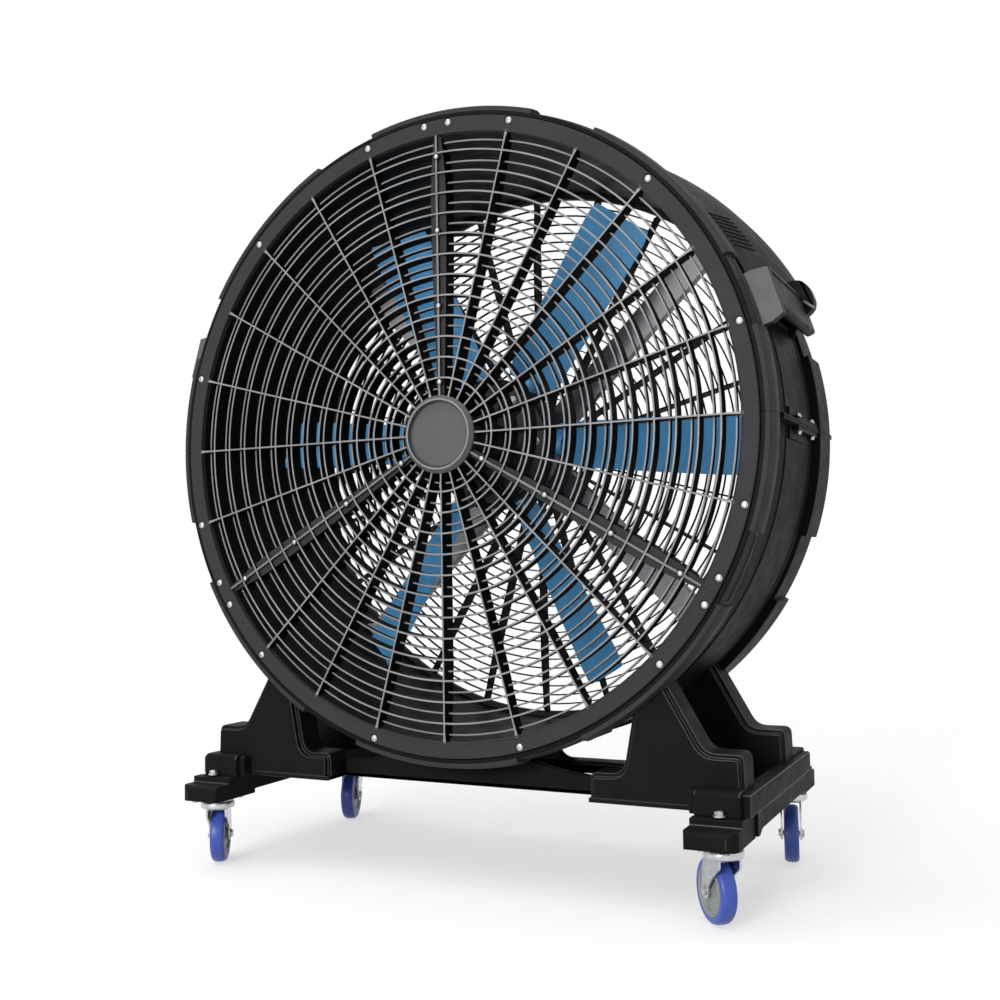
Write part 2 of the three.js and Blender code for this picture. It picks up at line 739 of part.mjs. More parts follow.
function lug(size, shift, waist) {
  const [inner, outer] = [BORE_R, size.reach];
  const half = size.base / 2;
  const topHalf = (size.top ?? size.waist) / 2;
  const shoulder = outer - EDGE * 2;
  const outline = [
    [inner, shift - half],
    [BAND_R, shift - half],
    [lerp(BAND_R, outer, 0.4), shift - waist],
    [shoulder, shift - topHalf],
    [outer, shift - topHalf + EDGE * 2],
    [outer, shift + topHalf - EDGE * 2],
    [shoulder, shift + topHalf],
    [lerp(BAND_R, outer, 0.4), shift + waist],
    [BAND_R, shift + half],
    [inner, shift + half],
  ];
  const from = fromMouth(size.from);
  return slab(outline, "xz", from, from + size.thick);
}

function handle(envelope) {
  const front = lug(FRONT_LUG, 0, FRONT_LUG.base / 2 - EDGE);
  const rear = lug(REAR_LUG, REAR_LUG.shift, REAR_LUG.waist / 2);
  const half = GRIP.across / 2;
  const [low, high] = [GRIP_R - GRIP.radial / 2, GRIP_R + GRIP.radial / 2];
  const section = [
    [low, EDGE - half],
    [low + EDGE, -half],
    [high - EDGE, -half],
    [high, EDGE - half],
    [high, half - EDGE],
    [high - EDGE, half],
    [low + EDGE, half],
    [low, half - EDGE],
  ];
  const ends = [fromMouth(FRONT_LUG.from) + EDGE, fromMouth(REAR_LUG.from) + REAR_LUG.thick - EDGE];
  const grip = slab(section, "xz", ends[0], ends[1]);
  const whole = joined([front, rear, grip].map((piece) => turned(piece, HANDLE_ANGLE)));
  return surface(whole.subtract(envelope));
}

// ---- pedestals and base, drawn on the right-hand side ----

// A cheek's contour seen from the front, drawn in by an inset; its top runs on into the drum.
function cheekShape(inset) {
  const shape = new THREE.Shape();
  const low = DECK + inset;
  const shelf = CHEEK_SHELF - inset;
  const lowShelf = CHEEK_LOW_SHELF - inset;
  const topR = BORE_R + CHEEK_TOP.depth;
  const outer = polar(-CHEEK_TOP.outer, topR, 0);
  const inner = polar(-CHEEK_TOP.inner, topR, 0);
  shape.moveTo(CHEEK_IN + inset, low);
  shape.lineTo(CHEEK_OUT - inset, low);
  shape.lineTo(CHEEK_OUT - 4 - inset, shelf - 10);
  shape.quadraticCurveTo(CHEEK_OUT - 4 - inset, shelf, CHEEK_OUT - 16 - inset, shelf);
  shape.lineTo(CHEEK_OUT - 56 - inset, shelf);
  shape.quadraticCurveTo(CHEEK_OUT - 78 - inset, shelf, CHEEK_OUT - 88 - inset, shelf + 18);
  shape.lineTo(outer.x - inset, outer.z + AXIS_HEIGHT);
  shape.lineTo(inner.x + inset, inner.z + AXIS_HEIGHT);
  shape.lineTo(CHEEK_IN + 76 + inset, lowShelf + 26);
  shape.quadraticCurveTo(CHEEK_IN + 70 + inset, lowShelf, CHEEK_IN + 44 + inset, lowShelf);
  shape.lineTo(CHEEK_IN + 10 + inset, lowShelf);
  shape.lineTo(CHEEK_IN + inset, lowShelf - 10);
  shape.closePath();
  return shape;
}

// A cheek with a step all round its contour at both faces.
function cheek({ from, to }) {
  const core = slab(cheekShape(0), "xz", from + 2 * CHEEK_STEP, to - 2 * CHEEK_STEP);
  const faces = slab(cheekShape(CHEEK_STEP), "xz", from, to);
  return [core, faces];
}

function pedestal(envelope) {
  const deck = [DECK, DECK + DECK_THICK];
  const pieces = [
    ...cheek(CHEEK_FRONT),
    ...cheek(CHEEK_REAR),
    box([CHEEK_IN, SILL_OUT - EDGE], [CHEEK_FRONT.from, BLOCK_REACH], deck),
    slab(
      [
        [SILL_IN, DECK],
        [SILL_OUT, DECK],
        [SILL_OUT, SILL_TOP - EDGE],
        [SILL_OUT - EDGE, SILL_TOP],
        [SILL_IN, SILL_TOP],
      ],
      "xz",
      -BLOCK_REACH + 3 * EDGE,
      BLOCK_REACH - 3 * EDGE,
    ),
  ];
  const block = [
    [-BLOCK_REACH, DECK],
    [-BLOCK_REACH, BLOCK_TOP - 2 * EDGE],
    [-BLOCK_REACH + 2 * EDGE, BLOCK_TOP],
  ];
  const frontBlock = [...block, [CHEEK_FRONT.from + 2 * EDGE, BLOCK_TOP], [CHEEK_FRONT.from + 2 * EDGE, DECK]];
  const rearBlock = block.map(([y, z]) => [-y, z]);
  rearBlock.push([CHEEK_REAR.to - 2 * EDGE, BLOCK_TOP], [CHEEK_REAR.to - 2 * EDGE, DECK]);
  pieces.push(slab(frontBlock, "yz", BLOCK_IN, BLOCK_OUT), slab(rearBlock, "yz", BLOCK_IN, BLOCK_OUT));
  return surface(joined(pieces).subtract(envelope));
}

// A block over a caster: a low round-edged nose, a ledge and the seat of the pedestal.
function foot() {
  const top = DECK - GAP;
  const [bottom, nose, edge] = [CASTER_HEIGHT, -FOOT_REACH, FOOT_EDGE];
  const profile = new THREE.Shape();
  profile.moveTo(-FOOT_BACK, bottom);
  profile.lineTo(-FOOT_BACK, top);
  profile.lineTo(-BLOCK_REACH - GAP, top);
  profile.lineTo(-BLOCK_REACH - GAP, LEDGE_TOP);
  profile.lineTo(-LEDGE_REACH, LEDGE_TOP);
  profile.lineTo(-LEDGE_REACH, FOOT_TOP);
  profile.lineTo(nose + edge, FOOT_TOP);
  profile.quadraticCurveTo(nose, FOOT_TOP, nose, FOOT_TOP - edge);
  profile.lineTo(nose, bottom + edge);
  profile.lineTo(nose + edge, bottom);
  profile.closePath();
  return closedMesh(slab(profile, "yz", BLOCK_IN, FOOT_OUT));
}

function sideRail() {
  const top = DECK - GAP;
  const profile = [
    [SILL_OUT, SKIRT_BOTTOM],
    [SILL_OUT, top],
    [SKIRT_SHELF, top],
    [SKIRT_SHELF, top - SKIRT_WALL],
    [SILL_OUT - SKIRT_WALL, top - SKIRT_WALL],
    [SILL_OUT - SKIRT_WALL, SKIRT_BOTTOM],
  ];
  return closedMesh(slab(profile, "xz", GAP - FOOT_BACK, FOOT_BACK - GAP));
}

// A web across the base, bearing on the drum in the middle, with a flange along its foot.
function crossBeam(front, envelope) {
  const end = CHEEK_IN - GAP;
  const shape = new THREE.Shape();
  const crown = AXIS_HEIGHT - BODY_FRONT_R + 2 * EDGE;
  const swell = BEAM_SHOULDER + 2 * EDGE;
  shape.moveTo(-end, DECK);
  shape.lineTo(end, DECK);
  shape.lineTo(end, BEAM_SHOULDER);
  shape.quadraticCurveTo((end + BEAM_CROWN) / 2, BEAM_SHOULDER, BEAM_CROWN + 2 * EDGE, swell);
  shape.quadraticCurveTo(BEAM_CROWN + EDGE / 2, (swell + crown) / 2, BEAM_CROWN, crown);
  shape.lineTo(-BEAM_CROWN, crown);
  shape.quadraticCurveTo(-BEAM_CROWN - EDGE / 2, (swell + crown) / 2, -BEAM_CROWN - 2 * EDGE, swell);
  shape.quadraticCurveTo(-(end + BEAM_CROWN) / 2, BEAM_SHOULDER, -end, BEAM_SHOULDER);
  shape.closePath();
  const web = slab(shape, "xz", front, front + BEAM_WALL);
  const flange = box([-end, end], [front, front + BEAM_FLANGE], [DECK, DECK + DECK_THICK]);
  return surface(joined([web, flange]).subtract(envelope));
}

// ---- casters, drawn with the wheel trailing along +X and the axle along Y ----

const PLATE_TOP = CASTER_HEIGHT - GAP;
const PLATE_UNDER = PLATE_TOP - TOP_PLATE.thick;
const RACE_UNDER = PLATE_UNDER - RACE_HEIGHT;
const CROWN_UNDER = 2 * WHEEL_R + FORK_TOP_GAP;
const CROWN_TOP = CROWN_UNDER + FORK_WALL;
const FORK_IN = WHEEL_WIDTH / 2 + FORK_SIDE_GAP;
const FORK_OUT = FORK_IN + FORK_WALL;

const upright = (geometry) => geometry.rotateX(Math.PI / 2);

function casterPlate() {
  const [long, wide] = [TOP_PLATE.long / 2, TOP_PLATE.wide / 2];
  const plate = box([-wide, wide], [-long, long], [PLATE_UNDER, PLATE_TOP]);
  const race = upright(rod(RACE_R, 12, RACE_UNDER, PLATE_UNDER + 1));
  const pin = upright(rod(KINGPIN_R, PIN_SIDES, CROWN_TOP, RACE_UNDER + 1));
  return surface(joined([plate, race, pin]));
}

function forkLeg(from, to) {
  const wide = HEAD_R - 2 * EDGE;
  const side = new THREE.Shape();
  side.moveTo(-wide, CROWN_TOP);
  side.lineTo(-wide, CROWN_TOP - 3 * EDGE);
  side.lineTo(TRAIL - FORK_BOSS, WHEEL_R);
  side.absarc(TRAIL, WHEEL_R, FORK_BOSS, Math.PI, 2 * Math.PI, false);
  side.lineTo(HEAD_R + EDGE, CROWN_TOP - 3 * EDGE);
  side.lineTo(wide + EDGE, CROWN_TOP);
  side.closePath();
  return slab(side, "xz", from, to);
}

function casterFork() {
  const head = upright(rod(HEAD_R, 12, CROWN_UNDER, RACE_UNDER - GAP));
  const bar = box([EDGE * 2 - HEAD_R, HEAD_R - EDGE], [-FORK_OUT, FORK_OUT], [CROWN_UNDER, CROWN_TOP]);
  const legs = [forkLeg(-FORK_OUT, -FORK_IN), forkLeg(FORK_IN, FORK_OUT)];
  const pinHole = upright(rod(KINGPIN_R + RUNNING, PIN_SIDES, CROWN_UNDER - 1, RACE_UNDER + 1));
  const axleHole = rod(AXLE_R + GAP, PIN_SIDES, -FORK_OUT - 1, FORK_OUT + 1).translate(TRAIL, 0, WHEEL_R);
  const body = joined([head, bar, ...legs]);
  return surface(body.subtract(solid(pinHole)).subtract(solid(axleHole)));
}

function casterAxle() {
  const pin = rod(AXLE_R, PIN_SIDES, -FORK_OUT - 1, FORK_OUT + 1);
  const near = rod(AXLE_HEAD_R, 6, -FORK_OUT - GAP - AXLE_HEAD, -FORK_OUT - GAP);
  const far = rod(AXLE_HEAD_R, 6, FORK_OUT + GAP, FORK_OUT + GAP + AXLE_HEAD);
  return surface(joined([pin, near, far]));
}

const facetR = (flat) => flat / Math.cos(Math.PI / WHEEL_SIDES);

function wheelCore() {
  const half = WHEEL_WIDTH / 2;
  const rim = facetR(WHEEL_R - TREAD);
  const corners = [
    [AXLE_R + RUNNING, -half - RUNNING],
    [AXLE_HEAD_R + EDGE, -half - RUNNING],
    [rim, -half],
    [rim, half],
    [AXLE_HEAD_R + EDGE, half + RUNNING],
    [AXLE_R + RUNNING, half + RUNNING],
  ];
  return revolve(corners, WHEEL_SIDES, 180 / WHEEL_SIDES);
}

function wheelTread() {
  const half = WHEEL_WIDTH / 2;
  const inner = facetR(WHEEL_R - TREAD) + GAP;
  const outer = facetR(WHEEL_R);
  const corners = [[inner, -half], [outer, -half], [outer, half], [inner, half]];
  return revolve(corners, WHEEL_SIDES, 180 / WHEEL_SIDES);
}

// ---- assembly ----

function drum(envelope) {
  const group = new THREE.Group();
  group.position.z = AXIS_HEIGHT;
  const half = halfShell();
  const lower = named("lower_shell", half, shellPlastic());
  lower.rotation.y = Math.PI;
  group.add(named("upper_shell", half, shellPlastic()), lower);
  for (let i = 0; i < SECTORS; i++) {
    const geometry = guardSector(90 + (i * 360) / SECTORS);
    group.add(named("front_guard_" + (i + 1), geometry, guardPlastic()));
  }
  group.add(named("front_cap", frontCap(), capPlastic()));
  const back = new THREE.Group();
  back.rotation.z = Math.PI;
  back.add(named("rear_guard", rearGuard(), guardPlastic()), named("rear_cap", rearCap(), capPlastic()));
  group.add(back);
  const grab = handle(envelope);
  const left = named("handle_left", grab, lugPlastic());
  left.scale.x = -1;
  group.add(named("handle_right", grab, lugPlastic()), left);
  return group;
}

function drive() {
  const group = new THREE.Group();
  group.position.z = AXIS_HEIGHT;
  group.add(named("impeller_hub", hub(), darkMetal()));
  group.add(named("hub_nose", nose(), darkMetal()));
  const oneBlade = blade();
  for (let i = 0; i < BLADES; i++) {
    const mesh = named("blade_" + (i + 1), oneBlade, bladePlastic());
    mesh.rotation.y = -rad(BLADE_TURN + (i * 360) / BLADES);
    group.add(mesh);
  }
  group.add(named("motor_shaft", rod(SHAFT_R, 16, HUB_FRONT, SHAFT_END), zinc()));
  group.add(named("motor_bell", motorBell(), greyPaint()));
  group.add(named("motor_body", motorBody(), greyPaint()));
  group.add(named("terminal_box", terminalBox(), darkMetal()));
  group.add(named("motor_plate", motorPlate(), greyPaint()));
  const filling = boreFilling();
  for (let i = 0; i < 4; i++) {
    group.add(named("strut_" + (i + 1), strut(45 + 90 * i, filling), greyPaint()));
  }
  return group;
}

function base(envelope) {
  const group = new THREE.Group();
  const lowered = envelope.translate([0, 0, AXIS_HEIGHT]);
  const side = pedestal(lowered);
  const rail = sideRail();
  const block = foot();
  for (const [word, sign] of [["right", 1], ["left", -1]]) {
    const pieces = [
      named("pedestal_" + word, side, shellPlastic()),
      named("side_rail_" + word, rail, shellPlastic()),
      named("foot_front_" + word, block, shellPlastic()),
      named("foot_rear_" + word, block, shellPlastic()),
    ];
    pieces[3].scale.y = -1;
    for (const piece of pieces) piece.scale.x = sign;
    group.add(...pieces);
  }
  group.add(named("cross_beam_front", crossBeam(BEAM_FRONT, lowered), shellPlastic()));
  group.add(named("cross_beam_rear", crossBeam(BEAM_REAR, lowered), shellPlastic()));
  return group;
}

function casters() {
  const group = new THREE.Group();
  const [plate, fork, axle] = [casterPlate(), casterFork(), casterAxle()];
  const [core, tread] = [wheelCore(), wheelTread()];
  for (const [place, angle] of Object.entries(TRAIL_ANGLES)) {
    const spot = new THREE.Group();
    const x = place.endsWith("right") ? CASTER_X : -CASTER_X;
    const y = place.startsWith("front") ? -CASTER_Y : CASTER_Y;
    spot.position.set(x, y, 0);
    const name = "caster_" + place;
    spot.add(named(name + "_plate", plate, zinc()));
    const swivel = new THREE.Group();
    swivel.rotation.z = rad(angle);
    swivel.add(named(name + "_fork", fork, zinc()));
    const wheel = new THREE.Group();
    wheel.position.set(TRAIL, 0, WHEEL_R);
    wheel.add(named(name + "_axle", axle, zinc()));
    wheel.add(named(name + "_wheel", core, wheelGrey()));
    wheel.add(named(name + "_tread", tread, treadBlue()));
    swivel.add(wheel);
    spot.add(swivel);
    group.add(spot);
  }
  return group;
}

const fan = new THREE.Group();
const seatCutter = drumEnvelope();
fan.add(drum(seatCutter), drive(), base(seatCutter), casters());

export default fan;
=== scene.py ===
"""A drum fan on a base with four swivel casters, drawn round its packed CAD frame.

The drum's axis runs along Y with the mouth at -Y, and the origin lies on the floor under its middle.
The drum's pieces are drawn about that axis at height 0 and then lifted. Lengths are in metres.
"""
import math
from contextlib import contextmanager

import bmesh
import bpy
from mathutils import Matrix, Vector


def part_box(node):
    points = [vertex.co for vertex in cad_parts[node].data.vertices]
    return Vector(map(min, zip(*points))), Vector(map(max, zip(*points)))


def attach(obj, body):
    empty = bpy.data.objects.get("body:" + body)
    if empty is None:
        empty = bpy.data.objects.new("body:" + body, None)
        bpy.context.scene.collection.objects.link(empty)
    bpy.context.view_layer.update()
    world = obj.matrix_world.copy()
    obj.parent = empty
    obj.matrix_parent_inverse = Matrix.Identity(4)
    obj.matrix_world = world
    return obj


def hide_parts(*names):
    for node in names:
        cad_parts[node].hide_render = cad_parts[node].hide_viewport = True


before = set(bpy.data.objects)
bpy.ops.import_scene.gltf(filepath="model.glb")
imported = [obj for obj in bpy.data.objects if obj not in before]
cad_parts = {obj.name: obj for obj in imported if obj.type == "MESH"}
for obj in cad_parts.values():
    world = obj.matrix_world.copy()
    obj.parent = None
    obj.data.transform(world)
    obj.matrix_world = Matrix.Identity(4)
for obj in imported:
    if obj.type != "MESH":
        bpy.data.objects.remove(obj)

bl_info = {
    "name": "Drum fan",
    "version": (1, 0, 0),
    "blender": (4, 5, 0),
    "location": "View3D > Sidebar > Drum fan",
    "description": "Builds a drum fan on casters round its CAD frame",
    "category": "Add Mesh",
}

STAND = "stand_and_drum"
# EDGE is the finish of rounded edges: twice as light as the shell, a painted highlight.
BLACK, RING, EDGE = "black_moulded_polyethylene", "charcoal_ring_plastic", "painted_edge_highlight"
GREY, DARK_SHADED, ZINC, DULL = "grey_painted_steel", "dark_cast_with_painted_shade", "bright_zinc", "dull_screw_zinc"
CASTERS = ("front_right", "front_left", "rear_left", "rear_right")
SIDES = {"right": 1, "left": -1}

# ---- sizes read from the CAD frame ----

upper_low, upper_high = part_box("upper_shell")
AXIS = (upper_low.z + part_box("lower_shell")[1].z) / 2
NARROW = 0.0017  # width under which a face is part of a rounded edge
SIT = 0.0003  # the clearance between pieces that sit on one another
IN_WALL = 0.668  # a radius inside the drum's wall, where what joins it ends
CROWN_HIGH = 0.132  # where the casters' legs end and their kingpins begin
FRONT, REAR = upper_low.y, upper_high.y
DRUM_RADIUS = upper_high.z - AXIS
CAP_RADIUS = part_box("front_cap")[1].x
HUB_FRONT, HUB_BACK = (corner.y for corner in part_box("impeller_hub"))
HUB_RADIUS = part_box("impeller_hub")[1].z - AXIS
MOTOR_FRONT, MOTOR_BACK = (corner.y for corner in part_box("motor_body"))
FOOT_LOW, FOOT_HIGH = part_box("foot_front_right")
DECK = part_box("pedestal_right")[0].z
CASTER_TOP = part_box("caster_front_right_plate")[1].z

# ---- sizes and colours a user would change ----


def linear(hex_colour):
    """The linear colour of an sRGB hex code."""
    parts = [int(hex_colour[i : i + 2], 16) / 255 for i in (1, 3, 5)]
    return tuple(p / 12.92 if p <= 0.04045 else ((p + 0.055) / 1.055) ** 2.4 for p in parts) + (1.0,)


def length(name, text, value):
    return bpy.props.FloatProperty(name=name, description=text, default=value, unit="LENGTH", precision=4)


def angle(name, text, degrees):
    return bpy.props.FloatProperty(name=name, description=text, default=math.radians(degrees), subtype="ANGLE")


def count(name, text, value):
    return bpy.props.IntProperty(name=name, description=text, default=value, min=1)


def colour(name, text, code):
    limits = {"size": 4, "subtype": "COLOR", "min": 0, "max": 1}
    return bpy.props.FloatVectorProperty(name=name, description=text, default=linear(code), **limits)


class DrumSizes(bpy.types.PropertyGroup):
    """The two half shells."""

    bore: length("Bore radius", "Inside of the drum's wall", 0.656)
    band: length("Front band radius", "Over the pads of the front band", 0.702)
    band_recess: length("Front band recess", "From a pad down to the band between pads", 0.009)
    band_length: length("Front band length", "Along the drum's axis", 0.065)
    setback: length("Front band setback", "Front band behind the guard's face", 0.004)
    body_front: length("Body radius, front", "Just behind the front band", 0.672)
    body_ridge: length("Body radius, ridge", "At the ridge line", 0.684)
    ridge_place: length("Ridge place", "From the mouth back to the ridge line", 0.19)
    body_rear: length("Body radius, rear", "Just before the rear band", 0.690)
    groove: length("Groove", "Width and depth of the line before the rear band", 0.006)
    rear_band: length("Rear band radius", "Over the pads of the rear band", DRUM_RADIUS)
    rear_recess: length("Rear band recess", "From a pad down to the band between pads", 0.010)
    rear_length: length("Rear band length", "Along the drum's axis", 0.12)
    pads: count("Pads", "Raised stretches of each band", 8)
    pad_half: angle("Pad half angle", "Half the angle that a pad takes", 16)
    pad_turn: angle("Pad turn", "From 3 o'clock down to the middle of the first pad", 2.5)
    boss_reach: length("Seam boss reach", "How far a bolting boss stands off the body", 0.022)
    boss_height: length("Seam boss height", "Thickness of one half of the bolting boss", 0.015)


class GuardSizes(bpy.types.PropertyGroup):
    """The front and rear guards."""

    flange_in: length("Flange inner radius", "Inside of the flat ring", 0.643)
    flange_out: length("Flange outer radius", "Outside of the flat ring", 0.677)
    flange_thick: length("Flange thickness", "Along the drum's axis", 0.012)
    rib_width: length("Rib width", "Of the ribs from the core to the flange", 0.0036)
    rib_depth: length("Rib depth", "Along the drum's axis", 0.043)
    rib_shallow: length("Rib depth, outer", "Where the ribs near the flange", 0.033)
    rib_step: angle("Rib step", "From rib to rib", 15)
    ring_width: length("Ring width", "Of a guard ring's front edge", 0.0038)
    ring_depth: length("Ring depth", "Along the drum's axis", 0.034)
    ring_out: length("Outer ring radius", "Middle of the outermost ring", 0.605)
    ring_pitch: length("Ring pitch", "From one front ring to the next", 0.044)
    rings: count("Front rings", "With a recessed ring outside each", 12)
    back_offset: length("Recessed ring offset", "Outwards from a front ring to its recessed ring", 0.025)
    back_rings: length("Recessed ring place", "Their edges behind the front rings' edges", 0.0175)
    core: length("Core radius", "Outside of the ring that the ribs run into", 0.078)
    core_wall: length("Core wall", "Thickness of that ring", 0.018)
    arm_peak: length("Arm's widest place", "From the axis", 0.510)
    arm_outer: length("Arm half width, outer", "Where a joining arm meets the flange", 0.008)
    arm_middle: length("Arm half width, widest", "At its widest place", 0.0185)
    arm_inner: length("Arm half width, inner", "Where it meets the core", 0.0075)
    arm_sunk: length("Arm web place", "Its face behind the ribs' front edges", 0.0075)
    cap: length("Cap radius", "Of the plain cap in the middle", CAP_RADIUS)
    cap_disc: length("Cap disc radius", "Of the flat disc inside the cap's rim", 0.0675)
    cap_height: length("Cap height", "In front of the guard's face", 0.013)
    screw: length("Screw head radius", "Of the guard's screws", 0.007)
    screw_circle: length("Screw circle", "Radius that the flange's screws stand on", 0.667)
    wire_pitch: length("Rear ring pitch", "From one rear ring to the next", 0.022)
    wire_width: length("Rear ring width", "Of a rear ring's edge", 0.0030)
    wire_depth: length("Rear ring depth", "Along the drum's axis", 0.007)


class DriveSizes(bpy.types.PropertyGroup):
    """The impeller and its motor."""

    blades: count("Blades", "Of the impeller", 6)
    turn: angle("Impeller's turn", "From a blade at 3 o'clock, as it stands in the photograph", -3.5)
    tip: length("Blade tip radius", "From the axis", 0.584)
    root: length("Blade root radius", "From the axis", 0.160)
    chord_root: length("Blade chord, root", "Straight across", 0.126)
    chord_tip: length("Blade chord, tip", "Straight across", 0.146)
    pitch_root: angle("Blade pitch, root", "From the plane of rotation", 43)
    pitch_tip: angle("Blade pitch, tip", "From the plane of rotation", 31)
    thick: length("Blade thickness", "At its thickest", 0.007)
    camber: length("Blade camber", "Rise of the blade's middle line", 0.009)
    shank: length("Shank radius", "Of the round root that sits in the hub", 0.022)
    hub: length("Hub radius", "Outside of the hub", HUB_RADIUS)
    nose: length("Nose radius", "Of the round cover over the shaft's end", 0.048)
    nose_height: length("Nose height", "In front of the hub", 0.024)
    shaft: length("Shaft radius", "Of the motor's shaft", 0.014)
    motor: length("Motor radius", "Over the cooling fins", 0.100)
    fins: count("Cooling fins", "Round the motor's body", 32)
    plate: length("Motor plate radius", "Of the plate that carries the motor", 0.118)
    strut: length("Strut width", "Of the channels that carry the plate", 0.066)
    strut_depth: length("Strut depth", "Along the drum's axis", 0.024)
    strut_wall: length("Strut wall", "Thickness of the channel's metal", 0.005)


class HandleSizes(bpy.types.PropertyGroup):
    """The grab handles."""

    place: angle("Handle angle", "Above 3 and 9 o'clock", 20.6)
    grip: length("Grip place", "Radius of the grip's middle", 0.728)
    grip_radial: length("Grip depth", "Outwards", 0.026)
    grip_across: length("Grip width", "Round the drum", 0.076)
    lug_thick: length("Front lug thickness", "Along the drum's axis", 0.024)


class StandSizes(bpy.types.PropertyGroup):
    """The pedestals and the base."""

    cheek_in: length("Cheek, inner end", "From the middle of the base", 0.310)
    cheek_out: length("Cheek, outer end", "From the middle of the base", 0.624)
    shelf: length("Outer shelf", "Height of the cheek's outer shelf", 0.310)
    low_shelf: length("Inner shelf", "Height of the cheek's inner shelf", 0.260)
    step: length("Cheek step", "Width of the double edge round a cheek", 0.009)
    deck: length("Deck thickness", "Of the plate between the cheeks", 0.009)
    sill_in: length("Sill, inner face", "From the middle of the base", 0.604)
    sill_out: length("Sill, outer face", "From the middle of the base", 0.640)
    sill_top: length("Sill top", "Height over the floor", 0.243)
    block_in: length("Block, inner face", "From the middle of the base", 0.535)
    block_top: length("Block top", "Height over the floor", 0.250)
    block_reach: length("Block reach", "Forward of the drum's middle", 0.285)
    foot_top: length("Foot nose top", "Height over the floor", 0.190)
    ledge: length("Ledge reach", "Forward of the drum's middle", 0.310)
    ledge_top: length("Ledge top", "Height over the floor", 0.208)
    skirt_bottom: length("Skirt bottom", "Height over the floor", 0.167)
    beam_wall: length("Beam wall", "Thickness of a cross beam's web", 0.015)
    beam_shoulder: length("Front beam shoulder", "Height of the front beam at its ends", 0.240)
    rear_shoulder: length("Rear beam shoulder", "Height of the rear beam at its ends", 0.188)
    beam_crown: length("Beam crown", "Half the stretch that bears on the drum", 0.108)
    bolt: length("Bolt width", "Across the flats of the hexagon bolts", 0.016)


class CasterSizes(bpy.types.PropertyGroup):
    """The four casters, each drawn with its wheel trailing along +X."""

    wheel: length("Wheel radius", "Over the tread", 0.0625)
    width: length("Wheel width", "Of the tread", 0.032)
    tread: length("Tread thickness", "Outside the wheel's core", 0.014)
    trail: length("Trail", "From the swivel axis to the axle", 0.036)
    head: length("Fork head radius", "Of the round head under the raceway", 0.038)
    wall: length("Fork wall", "Thickness of the fork's steel", 0.004)
    side_gap: length("Fork side gap", "From the wheel to the fork's leg", 0.003)
    axle: length("Axle radius", "Of the axle bolt", 0.0052)


class FinishColours(bpy.types.PropertyGroup):
    """The colours of the fan."""

    shell: colour("Shell and base", "Near-black moulded plastic", "#1b1b1c")
    guard: colour("Guards", "Charcoal moulded plastic", "#3b3b3d")
    # Painted shade: the sides of ribs and rings are near-black, darker than the guard itself.
    guard_side_shade: colour("Guard sides", "Sides of ribs and rings", "#121213")
    # Painted highlight: the pale front edges of ribs and rings, where the light catches them.
    guard_edge_highlight: colour("Guard edges", "Rubbed front edges of ribs and rings", "#8a8a8c")
    cap: colour("Cap", "Plain cap in the middle", "#5c5e5f")
    lug: colour("Handle", "Handle plastic", "#19191a")
    # Painted light: the front lug's forward faces are lighter than the rest of the handle.
    lug_lit_face: colour("Handle face", "Lighter face of the front lug", "#666668")
    blade: colour("Blades", "Blue moulded plastic", "#66b4ee")
    # Near-black partly as the hub's own colour and partly as painted shade for the darkness inside the drum.
    hub: colour("Hub", "Dark cast hub", "#101011")
    motor: colour("Motor", "Grey paint", "#b2b2b4")
    zinc: colour("Zinc", "Plated steel", "#c4c7ca")
    wheel: colour("Wheel cores", "Grey-green nylon", "#8d938f")
    tread: colour("Treads", "Blue polyurethane", "#4159b8")
    floor: colour("Floor", "Pale studio floor", "#b4b4b4")


class StageSizes(bpy.types.PropertyGroup):
    """The camera and the floor."""

    lens: bpy.props.FloatProperty(
        name="Lens", description="Focal length in millimetres", default=41.58, unit="CAMERA"
    )
    place: bpy.props.FloatVectorProperty(
        name="Camera", description="Where it stands", default=(1.186, -2.390, 0.678), subtype="TRANSLATION"
    )
    yaw: angle("Yaw", "Turn to the left from straight along the drum", 26.29)
    pitch: angle("Pitch", "Upwards from level", 3.1)
    roll: angle("Roll", "Turn about the line of sight", -0.98)
    floor: length("Floor width", "Of the square floor", 30.0)


SETTINGS = {
    "fan_drum": DrumSizes, "fan_guard": GuardSizes, "fan_drive": DriveSizes, "fan_handle": HandleSizes,
    "fan_stand": StandSizes, "fan_caster": CasterSizes, "fan_colours": FinishColours, "fan_stage": StageSizes,
}

# ---- selecting, editing and finishing ----


def select_none():
    bpy.ops.object.select_all(action="DESELECT")


def select_mesh():
    bpy.ops.mesh.select_all(action="SELECT")


def only(*objects):
    """Selects these objects, with the first one active."""
    select_none()
    for obj in objects:
        obj.select_set(True)
    bpy.context.view_layer.objects.active = objects[0]


@contextmanager
def editing(obj, kind="FACE"):
    """Opens an object in edit mode with nothing selected, and closes it again."""
    only(obj)
    bpy.ops.object.mode_set(mode="EDIT")
    bpy.ops.mesh.select_mode(type=kind)
    bpy.ops.mesh.select_all(action="DESELECT")
    yield
    bpy.ops.object.mode_set(mode="OBJECT")


def pick_faces(obj, test):
    """Selects, in edit mode, the faces whose middle and normal pass the test, and returns how many."""
    shape = bmesh.from_edit_mesh(obj.data)
    chosen = [face for face in shape.faces if test(face.calc_center_median(), face.normal)]
    for face in chosen:
        face.select_set(True)
    bmesh.update_edit_mesh(obj.data)
    return len(chosen)


def pushed_back(obj, test, distance):
    """Moves the vertices that pass the test along the drum's axis, in edit mode."""
    bpy.ops.mesh.select_all(action="DESELECT")
    shape = bmesh.from_edit_mesh(obj.data)
    for vertex in shape.verts:
        if test(vertex.co):
            vertex.select_set(True)
    shape.select_flush(True)
    bmesh.update_edit_mesh(obj.data)
    bpy.ops.transform.translate(value=(0, distance, 0))


